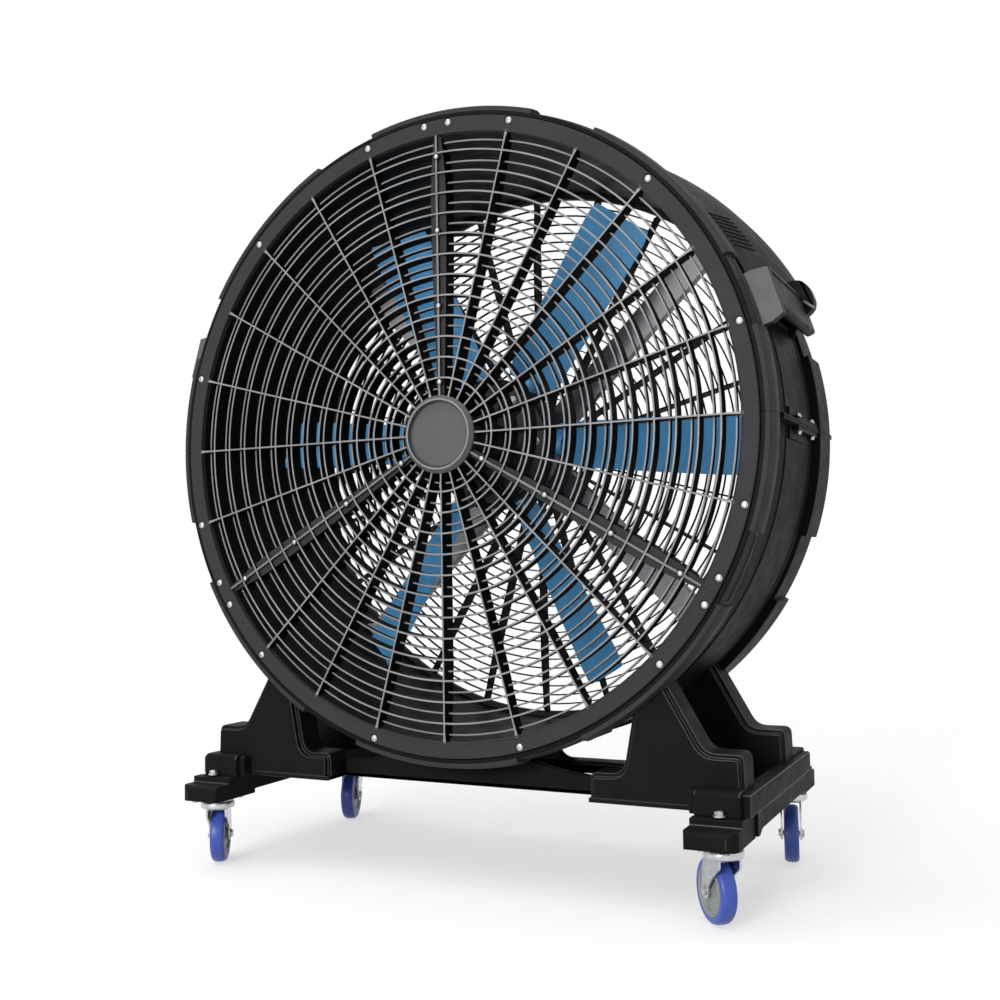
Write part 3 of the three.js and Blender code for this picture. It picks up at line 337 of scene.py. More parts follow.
def extruded(offset):
    """Extrudes what is selected."""
    bpy.ops.mesh.extrude_region_move(TRANSFORM_OT_translate={"value": Vector(offset)})


def applied(obj, name):
    """The object under its name, with its place in its mesh."""
    obj.name = name
    obj.data.name = name
    only(obj)
    bpy.ops.object.transform_apply(location=True, rotation=True, scale=True)
    return obj


def moved(obj, matrix):
    obj.matrix_world = matrix @ obj.matrix_world
    return applied(obj, obj.name)


def copied(obj, name, matrix=Matrix.Identity(4)):
    """A copy with a mesh of its own."""
    twin = obj.copy()
    twin.data = obj.data.copy()
    bpy.context.scene.collection.objects.link(twin)
    twin.matrix_world = matrix @ twin.matrix_world
    return applied(twin, name)


def removed(*objects):
    for obj in objects:
        bpy.data.meshes.remove(obj.data)


def joined(objects, name):
    only(*objects)
    if len(objects) > 1:
        bpy.ops.object.join()
    return applied(objects[0], name)


def facing_out(obj):
    with editing(obj):
        select_mesh()
        bpy.ops.mesh.normals_make_consistent(inside=False)
    return obj


def mirrored(obj, name):
    """A copy across the middle of the fan, facing out."""
    return facing_out(copied(obj, name, Matrix.Diagonal((-1, 1, 1, 1))))


def modified(obj, kind, **settings):
    """The object with one modifier applied."""
    only(obj)
    bpy.ops.object.modifier_add(type=kind)
    modifier = obj.modifiers[-1]
    for key, value in settings.items():
        setattr(modifier, key, value)
    bpy.ops.object.modifier_apply(modifier=modifier.name)
    return obj


def softened(obj, width, segments=2, sharper_than=32):
    """The object with its hard edges rounded off."""
    limit = {"limit_method": "ANGLE", "angle_limit": math.radians(sharper_than)}
    return modified(obj, "BEVEL", width=width, segments=segments, use_clamp_overlap=True, **limit)


def cut_by(obj, cutter, operation="DIFFERENCE"):
    """The object less the cutter, or what the two share; the cutter goes."""
    modified(obj, "BOOLEAN", operation=operation, solver="EXACT", object=cutter)
    removed(cutter)
    return obj


def painted(obj, *finishes, pick=None):
    """The object in these finishes; pick gives a face's finish from its middle and normal."""
    obj.data.materials.clear()
    for finish in finishes:
        obj.data.materials.append(bpy.data.materials[finish])
    if pick:
        for face in obj.data.polygons:
            face.material_index = int(pick(face.center, face.normal))
    return obj


def painted_edge_highlights(obj):
    """The narrow faces of rounded edges get a lighter, glossier finish of their own: a painted highlight where the
    light catches the edge.
    """
    obj.data.materials.append(bpy.data.materials[EDGE])
    last, points = len(obj.data.materials) - 1, obj.data.vertices
    for face in obj.data.polygons:
        around = sum((points[i].co - points[j].co).length for i, j in face.edge_keys)
        if 2 * face.area < NARROW * around:
            face.material_index = last


def checked_closed(obj):
    shape = bmesh.new()
    shape.from_mesh(obj.data)
    open_edges = sum(not edge.is_manifold for edge in shape.edges)
    volume = shape.calc_volume(signed=True)
    shape.free()
    if open_edges or volume <= 0:
        raise RuntimeError(f"{obj.name}: {open_edges} open edges, volume {volume:.3g}")


def finished(obj, name, finish, *stands_for, body=STAND, slot=None, edges=False):
    """Names the piece, gives it its material and says what it rides on and stands for."""
    obj.name = name
    obj.data.name = name
    checked_closed(obj)
    only(obj)
    bpy.ops.object.shade_smooth_by_angle(angle=math.radians(35))
    modified(obj, "WEIGHTED_NORMAL", keep_sharp=True)
    if finish:
        painted(obj, finish)
    if edges:
        painted_edge_highlights(obj)
    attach(obj, body)
    if stands_for:
        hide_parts(*stands_for)


# ---- places and turns ----


def to(x, y, z):
    return Matrix.Translation((x, y, z))


def turn_about(letter, degrees):
    return Matrix.Rotation(math.radians(degrees), 4, letter)


def about_axis(degrees):
    """The turn about the drum's axis, counted from +X towards +Z."""
    return turn_about("Y", -degrees)


LIFT = to(0, 0, AXIS)
UPRIGHT = turn_about("X", 90)  # turns +Y up and +Z to the front

# ---- first shapes ----


def outline(name, points):
    """A flat face, drawn corner by corner."""
    points = [Vector(point) for point in points]
    select_none()
    bpy.ops.mesh.primitive_plane_add(size=0.001, location=points[0])
    obj = bpy.context.object
    obj.name = name
    with editing(obj, "VERT"):
        select_mesh()
        bpy.ops.mesh.merge(type="CENTER")
        for before, after in zip(points, points[1:]):
            bpy.ops.mesh.extrude_vertices_move(TRANSFORM_OT_translate={"value": after - before})
        select_mesh()
        bpy.ops.mesh.edge_face_add()
    return applied(obj, name)


def section(name, corners, along=0):
    """A flat face from corners of radius and place along the drum's axis."""
    return outline(name, [(radius, along + y, 0) for radius, y in corners])


def thickened(obj, offset):
    """A flat face given thickness."""
    with editing(obj):
        select_mesh()
        extruded(offset)
    return facing_out(obj)


def block(name, low, high):
    low, high = Vector(low), Vector(high)
    select_none()
    bpy.ops.mesh.primitive_cube_add(size=1, location=(low + high) / 2, scale=high - low)
    return applied(bpy.context.object, name)


def rod(name, radius, start, end, sides=32):
    start, end = Vector(start), Vector(end)
    line, middle = end - start, (start + end) / 2
    turn = line.to_track_quat("Z", "Y").to_euler()
    select_none()
    bpy.ops.mesh.primitive_cylinder_add(
        vertices=sides, radius=radius, depth=line.length, location=middle, rotation=turn
    )
    return applied(bpy.context.object, name)


def spun(obj, degrees, steps):
    """A flat section swept about the Y axis, from +X towards +Z."""
    full = degrees >= 360
    with editing(obj):
        select_mesh()
        if full:
            bpy.ops.mesh.delete(type="ONLY_FACE")
            select_mesh()
        bpy.ops.mesh.spin(steps=steps, angle=math.radians(degrees), center=(0, 0, 0), axis=(0, 1, 0))
        if full:
            select_mesh()
            bpy.ops.mesh.remove_doubles(threshold=1e-5)
            bpy.ops.mesh.delete_loose()
    return facing_out(obj)


def revolved(name, corners, steps=96, along=0):
    """A round body about the Y axis, from corners of radius and place along it."""
    return spun(section(name, corners, along), 360, steps)


def rounded(corners, steps=5):
    """Points along an outline of (u, v) corners, of which some have a radius too."""
    points = []
    for i, (u, v, *radius) in enumerate(corners):
        here = Vector((u, v))
        if not radius:
            points.append(here)
            continue
        before, after = (Vector(corners[j % len(corners)][:2]) for j in (i - 1, i + 1))
        start = here + (before - here).normalized() * radius[0]
        end = here + (after - here).normalized() * radius[0]
        for k in range(steps + 1):
            t = k / steps
            points.append(start * (1 - t) ** 2 + here * 2 * t * (1 - t) + end * t * t)
    return points


def sheet_xz(name, corners, y_from, y_to):
    """An outline drawn in X and Z, from one place along Y to another."""
    return thickened(outline(name, [(p.x, y_from, p.y) for p in rounded(corners)]), (0, y_to - y_from, 0))


def sheet_yz(name, corners, x_from, x_to):
    return thickened(outline(name, [(x_from, p.x, p.y) for p in rounded(corners)]), (x_to - x_from, 0, 0))


def sheet_xy(name, corners, z_from, z_to):
    return thickened(outline(name, [(p.x, p.y, z_from) for p in rounded(corners)]), (0, 0, z_to - z_from))


def hexagon_bolt(name, across, height):
    """A hexagon head on a washer, standing on z = 0 and pointing up."""
    washer = softened(rod(name, across * 0.72, (0, 0, -0.001), (0, 0, height * 0.22), 24), SIT, 1)
    head = rod(name, across / math.sqrt(3), (0, 0, height * 0.2), (0, 0, height), 6)
    softened(head, across * 0.06)
    crown = rod(name, across * 0.43, (0, 0, height * 0.9), (0, 0, height * 1.06), 24)
    return joined([washer, head, softened(crown, across * 0.04, 1)], name)


# ---- materials ----


def add_node(tree, kind, inputs=None, **settings):
    """Adds a node with its settings; an input is a value, or a socket to link from."""
    node = tree.nodes.new("ShaderNode" + kind)
    for key, value in settings.items():
        setattr(node, key, value)
    for socket, value in (inputs or {}).items():
        if isinstance(value, bpy.types.NodeSocket):
            tree.links.new(value, node.inputs[socket])
        else:
            node.inputs[socket].default_value = value
    return node


def blank_material(name):
    material = bpy.data.materials.new(name)
    material.use_nodes = True
    tree = material.node_tree
    place = add_node(tree, "TexCoord").outputs["Object"]
    return tree, tree.nodes["Principled BSDF"], place


def noise(tree, place, feature, detail=3.0):
    """Noise whose features are about this many metres wide."""
    return add_node(tree, "TexNoise", {"Vector": place, "Scale": 1 / feature, "Detail": detail}).outputs["Fac"]


def spread(tree, value, low, high):
    """The value, from 0.3 to 0.7, stretched from low to high."""
    inputs = {"Value": value, "From Min": 0.3, "From Max": 0.7, "To Min": low, "To Max": high}
    return add_node(tree, "MapRange", inputs).outputs["Result"]


def shade(colour_value, factor):
    return tuple(part * factor for part in colour_value[:3]) + (1.0,)


def tinted(tree, shader, factor, base, low, high):
    """The base colour, from darker to lighter by the factor."""
    inputs = {0: factor, 6: shade(base, low), 7: shade(base, high)}
    mixed = add_node(tree, "Mix", inputs, data_type="RGBA").outputs[2]
    tree.links.new(mixed, shader.inputs["Base Color"])


def glossed(tree, shader, factor, low, high):
    tree.links.new(spread(tree, factor, low, high), shader.inputs["Roughness"])


def bumped(tree, shader, height, depth, strength=0.4):
    bump = add_node(tree, "Bump", {"Height": height, "Distance": depth, "Strength": strength})
    tree.links.new(bump.outputs["Normal"], shader.inputs["Normal"])


def moulded_plastic(name, base, roughness, tone=0.15, grain=0.0009, specular=0.5):
    """Satin moulding: slow drifts of tone and gloss from the tool, and a fine spark-eroded grain."""
    tree, shader, place = blank_material(name)
    tinted(tree, shader, spread(tree, noise(tree, place, 0.11), 0, 1), base, 1 - tone, 1 + tone)
    glossed(tree, shader, noise(tree, place, 0.035, detail=5), roughness - 0.06, roughness + 0.06)
    shader.inputs["Specular IOR Level"].default_value = specular
    bumped(tree, shader, noise(tree, place, grain, detail=2), 0.00006)


def plated_steel(name, base, roughness):
    """Bright zinc: a metal with faint crystal patches and thin streaks of handling."""
    tree, shader, place = blank_material(name)
    cells = add_node(tree, "TexVoronoi", {"Vector": place, "Scale": 1 / 0.006})
    patch = add_node(tree, "SeparateXYZ", {"Vector": cells.outputs["Color"]}).outputs["X"]
    tinted(tree, shader, patch, base, 0.86, 1.06)
    shader.inputs["Metallic"].default_value = 1.0
    streaks = add_node(tree, "Mapping", {"Vector": place, "Scale": (1, 1, 0.3)}).outputs["Vector"]
    smear = noise(tree, streaks, 0.012, detail=6)
    glossed(tree, shader, smear, roughness - 0.08, roughness + 0.12)
    bumped(tree, shader, smear, 0.0001, 0.2)


def painted_metal(name, base, roughness):
    """Sprayed paint: an even coat with a slight orange peel."""
    tree, shader, place = blank_material(name)
    flow = noise(tree, place, 0.08)
    tinted(tree, shader, spread(tree, flow, 0, 1), base, 0.9, 1.08)
    glossed(tree, shader, flow, roughness - 0.05, roughness + 0.05)
    shader.inputs["Coat Weight"].default_value = 0.15
    bumped(tree, shader, noise(tree, place, 0.004, detail=1), 0.0002, 0.25)


def make_materials(colours):
    moulded_plastic(BLACK, colours.shell, 0.5, specular=0.03)
    # Painted highlight: rounded edges take twice the shell's colour, as if the light caught them.
    moulded_plastic(EDGE, shade(colours.shell, 2.0), 0.4, specular=0.3)
    moulded_plastic(RING, colours.guard, 0.55, tone=0.06, specular=0.06)
    # Painted shade: the near-black sides of ribs, rings and arm webs.
    moulded_plastic("guard_side_shade_nylon", colours.guard_side_shade, 0.55, specular=0.02)
    # Painted highlight: a pale finish for front edges and crests where the light catches.
    moulded_plastic("painted_highlight_plastic", colours.guard_edge_highlight, 0.45, tone=0.2)
    moulded_plastic("satin_cap_plastic", colours.cap, 0.4, tone=0.05, specular=0.15)
    moulded_plastic("handle_grip_plastic", colours.lug, 0.45, specular=0.04)
    # Painted light: the lighter colour of the front lug's lit face.
    moulded_plastic("handle_lit_face_plastic", colours.lug_lit_face, 0.45, tone=0.06, specular=0.1)
    moulded_plastic("blue_blade_plastic", colours.blade, 0.33, tone=0.1, grain=0.002)
    # The dark cast finish is darkened further as painted shade for the inside of the drum.
    painted_metal(DARK_SHADED, colours.hub, 0.5)
    painted_metal(GREY, colours.motor, 0.42)
    plated_steel(ZINC, colours.zinc, 0.26)
    plated_steel(DULL, shade(colours.zinc, 0.9), 0.38)
    moulded_plastic("wheel_nylon", colours.wheel, 0.42, tone=0.08)
    moulded_plastic("blue_polyurethane", colours.tread, 0.36, tone=0.06, grain=0.003)
    # Near-black finish for the discs and seats round screws: painted shadow in the counterbores.
    moulded_plastic("shadow_recess", shade(colours.shell, 0.3), 0.7)


# ---- drum shell ----


def shell_profile(drum):
    """The wall's section as (radius, place along the axis) corners, with the bands at their recess."""
    step, seat = 0.679, 0.0123  # where the guards sit
    band, rear = drum.band - drum.band_recess, drum.rear_band - drum.rear_recess
    face, band_end, ridge = FRONT + drum.setback, FRONT + drum.band_length, FRONT + drum.ridge_place
    start, body, crest, tail = REAR - drum.rear_length, drum.body_front, drum.body_ridge, drum.body_rear
    return [
        (drum.bore, FRONT + seat), (step, FRONT + seat), (step, face), (band - 0.006, face),
        (band - 0.0045, face + 0.002), (band, face + 0.026), (band, band_end - 0.022),
        (band - 0.0015, band_end - 0.0205), (band - 0.0015, band_end), (body + 0.004, band_end + 0.003),
        (body - 0.001, band_end + 0.006), (body - 0.001, band_end + 0.012), (body + 0.0015, band_end + 0.0145),
        (crest - 0.001, ridge - 0.004), (crest + 0.0015, ridge - 0.0015), (crest + 0.0015, ridge + 0.0015),
        (crest - 0.0005, ridge + 0.004), (tail - 0.001, start - 0.032), (tail + 0.001, start - 0.030),
        (tail + 0.001, start - 0.026), (tail - 0.001, start - 0.024), (tail, start - drum.groove),
        (tail - drum.groove, start - drum.groove), (tail - drum.groove, start), (rear - 0.001, start + 0.001),
        (rear, start + 0.004), (rear, REAR - 0.006), (rear - 0.006, REAR), (step, REAR),
        (step, REAR - seat), (drum.bore, REAR - seat),
    ]


def raise_pads(shell, drum, radius, y_from, y_to, factor):
    """Lifts the stretches of a band that lie within a pad, straight away from the axis."""
    pitch, half = 360 / drum.pads, math.degrees(drum.pad_half)

    def on_pad(centre, normal):
        out = math.hypot(centre.x, centre.z)
        if not (radius - 0.007 < out < radius + 0.001 and y_from < centre.y < y_to):
            return False
        turn = math.degrees(math.atan2(centre.z, centre.x)) % 360 + math.degrees(drum.pad_turn)
        return math.hypot(normal.x, normal.z) >= 0.3 and min(turn % pitch, pitch - turn % pitch) < half

    with editing(shell):
        if not pick_faces(shell, on_pad):
            raise RuntimeError("no faces on the pads")
        bpy.ops.mesh.extrude_region_move()
        bpy.ops.transform.resize(value=(factor, 1, factor), center_override=(0, 0, 0))


def half_shell(drum):
    """The upper half, from 3 o'clock over the top to 9 o'clock."""
    split = 0.02
    shell = spun(section("half_shell", shell_profile(drum)), 180 - 2 * split, 144)
    moved(shell, about_axis(split))
    band, rear = drum.band - drum.band_recess, drum.rear_band - drum.rear_recess
    raise_pads(shell, drum, band, FRONT + 0.001, FRONT + drum.band_length - 0.001, drum.band / band)
    raise_pads(shell, drum, rear, REAR - drum.rear_length, REAR - 0.001, drum.rear_band / rear)
    parts = [softened(shell, 0.0011, 2, 28)]
    reach, height = drum.body_ridge + drum.boss_reach, drum.boss_height
    for sign in (1, -1):
        for short, y_from, y_to, low, high in (
            (0.002, 0.085, 0.572, 0.00015, 0.0055),
            (0.0045, 0.225, 0.545, 0.004, height),
            (0.0175, 0.205, 0.560, 0.004, height * 2.2),
        ):
            x = sorted((sign * 0.664, sign * (reach - short)))
            piece = block("seam_part", (x[0], FRONT + y_from, low), (x[1], FRONT + y_to, high))
            parts.append(softened(piece, 0.002))
    for i in range(drum.pads // 2):
        parts.append(recess_bead(drum, (i + 0.5) * 360 / drum.pads - math.degrees(drum.pad_turn)))
    return joined(parts, "upper_half_shell")


def recess_bead(drum, middle):
    """The long flat bead that lies in the front band between two pads."""
    half, band = 180 / drum.pads - math.degrees(drum.pad_half) - 0.8, drum.band - drum.band_recess
    corners = [(band - 0.004, 0.034), (band + 0.0035, 0.035), (band + 0.0035, 0.044), (band - 0.004, 0.045)]
    bead = spun(section("bead", corners, FRONT), 2 * half, 12)
    return softened(moved(bead, about_axis(middle - half)), 0.0012)


def housing(drum, name):
    """The raised housing above the right handle, with fine ribs on its front slope."""
    rear = REAR - drum.rear_length - 0.001 - FRONT
    corners = [
        (0.680, 0.150), (0.690, 0.150), (0.719, 0.300), (0.735, 0.425), (0.737, 0.520), (0.731, rear), (0.680, rear),
    ]
    body = softened(spun(section(name, corners, FRONT), 35.0, 28), 0.005, 3, 12)
    pieces = [moved(body, about_axis(23.2))]
    slope = [(0.688, 0.185), (0.699, 0.185), (0.7195, 0.292), (0.712, 0.297)]
    for i in range(8):
        rib = sheet_xy("rib", [(radius, FRONT + y) for radius, y in slope], -0.0016, 0.0016)
        pieces.append(moved(softened(rib, 0.0007, 1), about_axis(32 + i * 1.05)))
    return joined(pieces, name)


def vent_panel(drum, middle, name):
    """A raised panel behind the front band with fine parallel ribs along the drum."""
    y0, y1 = FRONT + drum.band_length + 0.020, FRONT + drum.ridge_place - 0.012
    inner, wide = drum.body_front, 15
    corners = [(inner - 0.004, y0), (inner + 0.0075, y0 + 0.002), (inner + 0.0135, y1 - 0.002), (inner + 0.004, y1)]
    pieces = [softened(spun(section(name, corners), wide, 12), 0.0012)]
    for i in range(9):
        rib = block("vent_rib", (inner, y0 + 0.012, -0.0016), (inner + 0.0165, y1 - 0.012, 0.0016))
        pieces.append(moved(softened(rib, 0.0008, 1), about_axis(2.3 + i * 1.3)))
    return moved(joined(pieces, name), about_axis(middle - wide / 2))


class FAN_OT_shell(bpy.types.Operator):
    """Build the two half shells of the drum with their seam bolts"""

    bl_idname = "fan.build_shell"
    bl_label = "Drum shell"

    def execute(self, context):
        drum = context.scene.fan_drum
        upper = half_shell(drum)
        lower = copied(upper, "lower_half_shell", about_axis(180))

        def on_band(centre, _):
            out = math.hypot(centre.x, centre.z - AXIS)
            return centre.y < FRONT + drum.band_length - 0.001 and out > drum.band - 0.012

        for shell, word in ((upper, "upper"), (lower, "lower")):
            painted(moved(shell, LIFT), BLACK, RING, pick=on_band)
            finished(shell, word + "_half_shell", None, word + "_shell", slot="shell_plastic")
        finished(moved(vent_panel(drum, 131.5, "vent_panel_left"), LIFT), "vent_panel_left", BLACK)
        finished(moved(housing(drum, "shell_housing"), LIFT), "shell_housing", BLACK)
        out = drum.body_ridge + drum.boss_reach - 0.0105
        bolt = hexagon_bolt("seam_bolt", 0.0095, 0.006)
        for side, sign in SIDES.items():
            for level, up, turn in (("upper", 1, 0), ("lower", -1, 180)):
                for i, place in enumerate((0.255, 0.385, 0.500)):
                    name = f"seam_bolt_{side}_{level}_{i + 1}"
                    at = to(sign * out, FRONT + place, up * (drum.boss_height + 0.0002))
                    finished(copied(bolt, name, LIFT @ at @ turn_about("X", turn)), name, DULL)
        removed(bolt)
        return {"FINISHED"}


# ---- guards ----


def painted_light_and_shade(obj, guard):
    """A guard's ribs or rings: near-black sides as painted shade and pale front edges as painted highlight."""

    def front_edge(centre, normal):
        behind = centre.y - FRONT
        return normal.y < -0.55 and min(abs(behind), abs(behind - guard.back_rings)) < 0.0016

    return painted(obj, "guard_side_shade_nylon", "painted_highlight_plastic", pick=front_edge)


def ring_sections(guard):
    """The sections of the front guard's rings, flat in front and tapering to the back, in one object."""
    half = guard.ring_width / 2
    nick, sections = half * 0.3, []
    for sunk, offset, count_of in ((0, 0, guard.rings), (guard.back_rings, guard.back_offset, guard.rings + 1)):
        depth = guard.ring_depth - sunk
        corners = [(-half, nick), (nick - half, 0), (half - nick, 0), (half, nick), (half * 0.4, depth)]
        corners.append((-half * 0.4, depth))
        for i in range(count_of):
            radius = guard.ring_out + offset - i * guard.ring_pitch
            sections.append(section("ring", [(radius + across, y) for across, y in corners], FRONT + sunk))
    return joined(sections, "guard_rings")


def wire_sections(guard):
    """The rear guard's rings: fine, all in one plane."""
    half, low, high, sections = guard.wire_width / 2, 0.0005, guard.wire_depth, []
    for i in range(math.floor((guard.flange_in - guard.core) / guard.wire_pitch)):
        radius = guard.flange_in - (i + 0.8) * guard.wire_pitch
        inner, outer = radius - half, radius + half
        sections.append(section("wire", [(inner, low), (outer, low), (outer, high), (inner, high)], FRONT))
    return joined(sections, "rear_rings")


def flange_section(guard):
    """The flat ring's section, with a fine raised line along its inner edge."""
    inner, outer, back = guard.flange_in, guard.flange_out, guard.flange_thick
    corners = [
        (inner, back), (inner, -0.0006), (inner + 0.0008, -0.0012), (inner + 0.0022, -0.0012), (inner + 0.003, 0),
        (outer - 0.0018, 0), (outer, 0.0018), (outer, back),
    ]
    return section("flange", corners, FRONT)


def core_section(guard, back):
    inner, outer = guard.core - guard.core_wall, guard.core
    return section("core", [(inner, 0), (outer - 0.001, 0), (outer, 0.001), (outer, back), (inner, back)], FRONT)


def guard_rib(guard):
    """A rib along +X on edge, flared where it runs into the core and the flange."""
    half, front = guard.rib_width / 2, FRONT - SIT
    inner, outer = guard.core - 0.004, guard.flange_in + 0.004
    side = [
        (inner, 1.9), (inner + 0.012, 1.15), (inner + 0.03, 1), (outer - 0.15, 1), (outer - 0.03, 1),
        (outer - 0.014, 1.3), (outer, 2.2),
    ]
    points = [(x, front, -half * flare) for x, flare in side]
    points += [(x, front, half * flare) for x, flare in reversed(side)]
    rib = thickened(outline("rib", points), (0, guard.rib_depth + SIT, 0))
    shallower, thinner = guard.rib_shallow - guard.rib_depth, guard.flange_thick - guard.rib_shallow - 0.001
    with editing(rib, "VERT"):
        pushed_back(rib, lambda co: co.x > outer - 0.04 and co.y > FRONT + 0.01, shallower)
        pushed_back(rib, lambda co: co.x > outer - 0.001 and co.y > FRONT + 0.01, thinner)
    return softened(rib, 0.0006, 1)


def arm_half(guard, radius):
    """Half the width of a joining arm, a boat shape."""
    inward = radius < guard.arm_peak
    end, least = (guard.core, guard.arm_inner) if inward else (guard.flange_in, guard.arm_outer)
    along = min(max((radius - end) / (guard.arm_peak - end), 0), 1)
    return least + (guard.arm_middle - least) * math.sin(along * math.pi / 2)


def half_arm(guard, side):
    """One side of a joining arm: a rib along its seam and a boat-shaped web behind it."""
    seam, half = 0.00015, guard.rib_width * 0.6
    inner, outer = guard.core - 0.006, guard.flange_in + 0.001
    radii = [inner + (outer - inner) * i / 20 for i in range(21)]
    sunk = FRONT + guard.arm_sunk
    points = [(r, sunk, side * arm_half(guard, r)) for r in radii]
    points += [(outer, sunk, side * seam), (inner, sunk, side * seam)]
    web = thickened(outline("half_arm", points), (0, guard.rib_depth - guard.arm_sunk, 0))
    z = sorted((side * seam, side * half))
    rib = block("arm_rib", (inner, FRONT - 0.0004, z[0]), (outer, FRONT + guard.rib_depth, z[1]))
    thinner = guard.flange_thick - guard.rib_depth - 0.0005
    for part in (web, rib):
        with editing(part, "VERT"):
            pushed_back(part, lambda co: co.x > outer - 0.001 and co.y > sunk + 0.001, thinner)
        softened(part, 0.0006)
    # Painted highlight on the rib's front faces, and painted shade on the web's faces that do not face the front.
    painted(rib, RING, "painted_highlight_plastic", pick=lambda at, normal: normal.y < -0.55 and at.y < FRONT + 0.0016)
    painted(web, RING, "guard_side_shade_nylon", pick=lambda at, normal: normal.y > -0.5)
    return joined([web, rib], "half_arm")


def guard_sector(guard, start, rings, ribs, screw_angles, name):
    """One moulded sector from arm to arm."""
    pieces = [moved(copied(rings, name), about_axis(start + 0.25))]
    flange = moved(spun(flange_section(guard), 120 - 0.03, 60), about_axis(start + 0.015))
    core = moved(spun(core_section(guard, guard.rib_depth - 0.006), 120 - 0.3, 30), about_axis(start + 0.15))
    arms = [moved(half_arm(guard, 1), about_axis(start)), moved(half_arm(guard, -1), about_axis(start + 120))]
    cut_by(flange, screw_seats(guard, [a for a in screw_angles if 0 < (a - start) % 360 < 120]))
    pieces += [painted(part, RING) for part in (flange, core)] + arms
    step = math.degrees(guard.rib_step)
    for i in range(1, round(120 / step)):
        pieces.append(copied(ribs, name, about_axis(start + i * step)))
    return joined(pieces, name)


def screw_seats(guard, angles):
    """Cutters for the counterbores round the flange's screws."""
    bores = []
    for degrees in angles:
        at = about_axis(degrees) @ Vector((guard.screw_circle, 0, 0))
        low, high = (at.x, FRONT - 0.004, at.z), (at.x, FRONT + 0.0022, at.z)
        bores.append(rod("bore", guard.screw * 1.42, low, high, 28))
    return joined(bores, "bores")


def round_screw(radius):
    """A pan-head screw facing -Y, with a cross recess, standing on y = 0."""
    corners = [
        (0, -0.0040), (0.45 * radius, -0.0039), (0.8 * radius, -0.0031), (radius, -0.0014), (radius, 0.001),
        (0, 0.001),
    ]
    head = revolved("screw", corners, 28)
    for turn in (0, 90):
        slot_cut = block("recess", (-0.0034, -0.006, -0.0008), (0.0034, -0.0022, 0.0008))
        cut_by(head, moved(slot_cut, about_axis(turn + 20)))
    return head


def screw_boss(screw):
    """The dished seat round an arm's screw, finished near-black as painted shadow."""
    r = screw * 1.05
    corners = [(0, 0), (r * 0.82, 0), (r * 0.9, -0.0008), (r, -0.0008), (r * 1.08, 0.0004), (r * 1.08, 0.024)]
    return revolved("screw_seat", [*corners, (0, 0.024)], 32)


class FAN_OT_front_guard(bpy.types.Operator):
    """Build the three moulded sectors of the front guard, their screws and the plain cap"""

    bl_idname = "fan.build_front_guard"
    bl_label = "Front guard"

    def execute(self, context):
        guard = context.scene.fan_guard
        rings = painted_light_and_shade(spun(ring_sections(guard), 120 - 0.5, 60), guard)
        rib = painted_light_and_shade(guard_rib(guard), guard)
        arms = (90, 210, 330)
        angles = [15 + i * 30 for i in range(12)] + [a + off for a in arms for off in (-2.5, 2.5)]
        for i, start in enumerate(arms):
            name = f"front_guard_sector_{i + 1}"
            sector = moved(guard_sector(guard, start, rings, rib, angles, name), LIFT)
            finished(sector, name, None, f"front_guard_{i + 1}", slot="guard_plastic")
        removed(rings, rib)
        self.place_screws(guard, angles, arms)
        self.cap(guard)
        return {"FINISHED"}

    def place_screws(self, guard, angles, arms):
        screw, seat, wide = round_screw(guard.screw), screw_boss(guard.screw), guard.screw * 1.38
        # A near-black disc in each counterbore: painted shadow, like the arm screws' seats.
        recess = revolved("recess", [(0, -0.0004), (wide, -0.0004), (wide, 0.002), (0, 0.002)], 32)
        spots = [("ring", a, guard.screw_circle, FRONT + 0.0018, 1, recess, "_recess") for a in angles]
        for a in arms:
            spots += [("arm", a, r, FRONT - 0.0002, 0.68, seat, "_seat") for r in (0.597, 0.437, 0.275, 0.112)]
        for i, (word, degrees, radius, y, scale, under, ending) in enumerate(spots):
            name = f"{word}_screw_{i + 1:02d}"
            at = LIFT @ about_axis(degrees) @ to(radius, y, 0)
            finished(copied(screw, name, at @ Matrix.Scale(scale, 4)), name, DULL)
            finished(copied(under, name + ending, at), name + ending, "shadow_recess")
        removed(screw, seat, recess)

    def cap(self, guard):
        rim, disc, outer = guard.cap_height, guard.cap_disc, guard.cap
        sunk, base = -0.2 * rim, FRONT - SIT
        corners = [
            (0, sunk), (disc - 0.0008, sunk), (disc, sunk + 0.0006), (disc + 0.0006, -0.0004),
            (disc + 0.0030, -0.0004), (disc + 0.0036, 0.0022 - rim), (disc + 0.0042, 0.0006 - rim),
            (disc + 0.0052, -rim), (disc + 0.0068, -rim), (disc + 0.0078, 0.0008 - rim),
            (disc + 0.0102, 0.0036 - rim), (outer - 0.0012, -0.0062), (outer, -0.0048), (outer, 0), (0, 0.004),
        ]
        cap = moved(revolved("plain_cap", corners, 128, base), LIFT)
        # Painted highlight: the forward-facing crest of the cap's rim takes the pale highlight finish.
        crest = base - rim + 0.0009
        crest_faces = lambda at, normal: normal.y < -0.6 and at.y < crest
        painted(cap, "satin_cap_plastic", "painted_highlight_plastic", pick=crest_faces)
        finished(cap, "plain_cap", None, "front_cap", slot="cap_plastic")


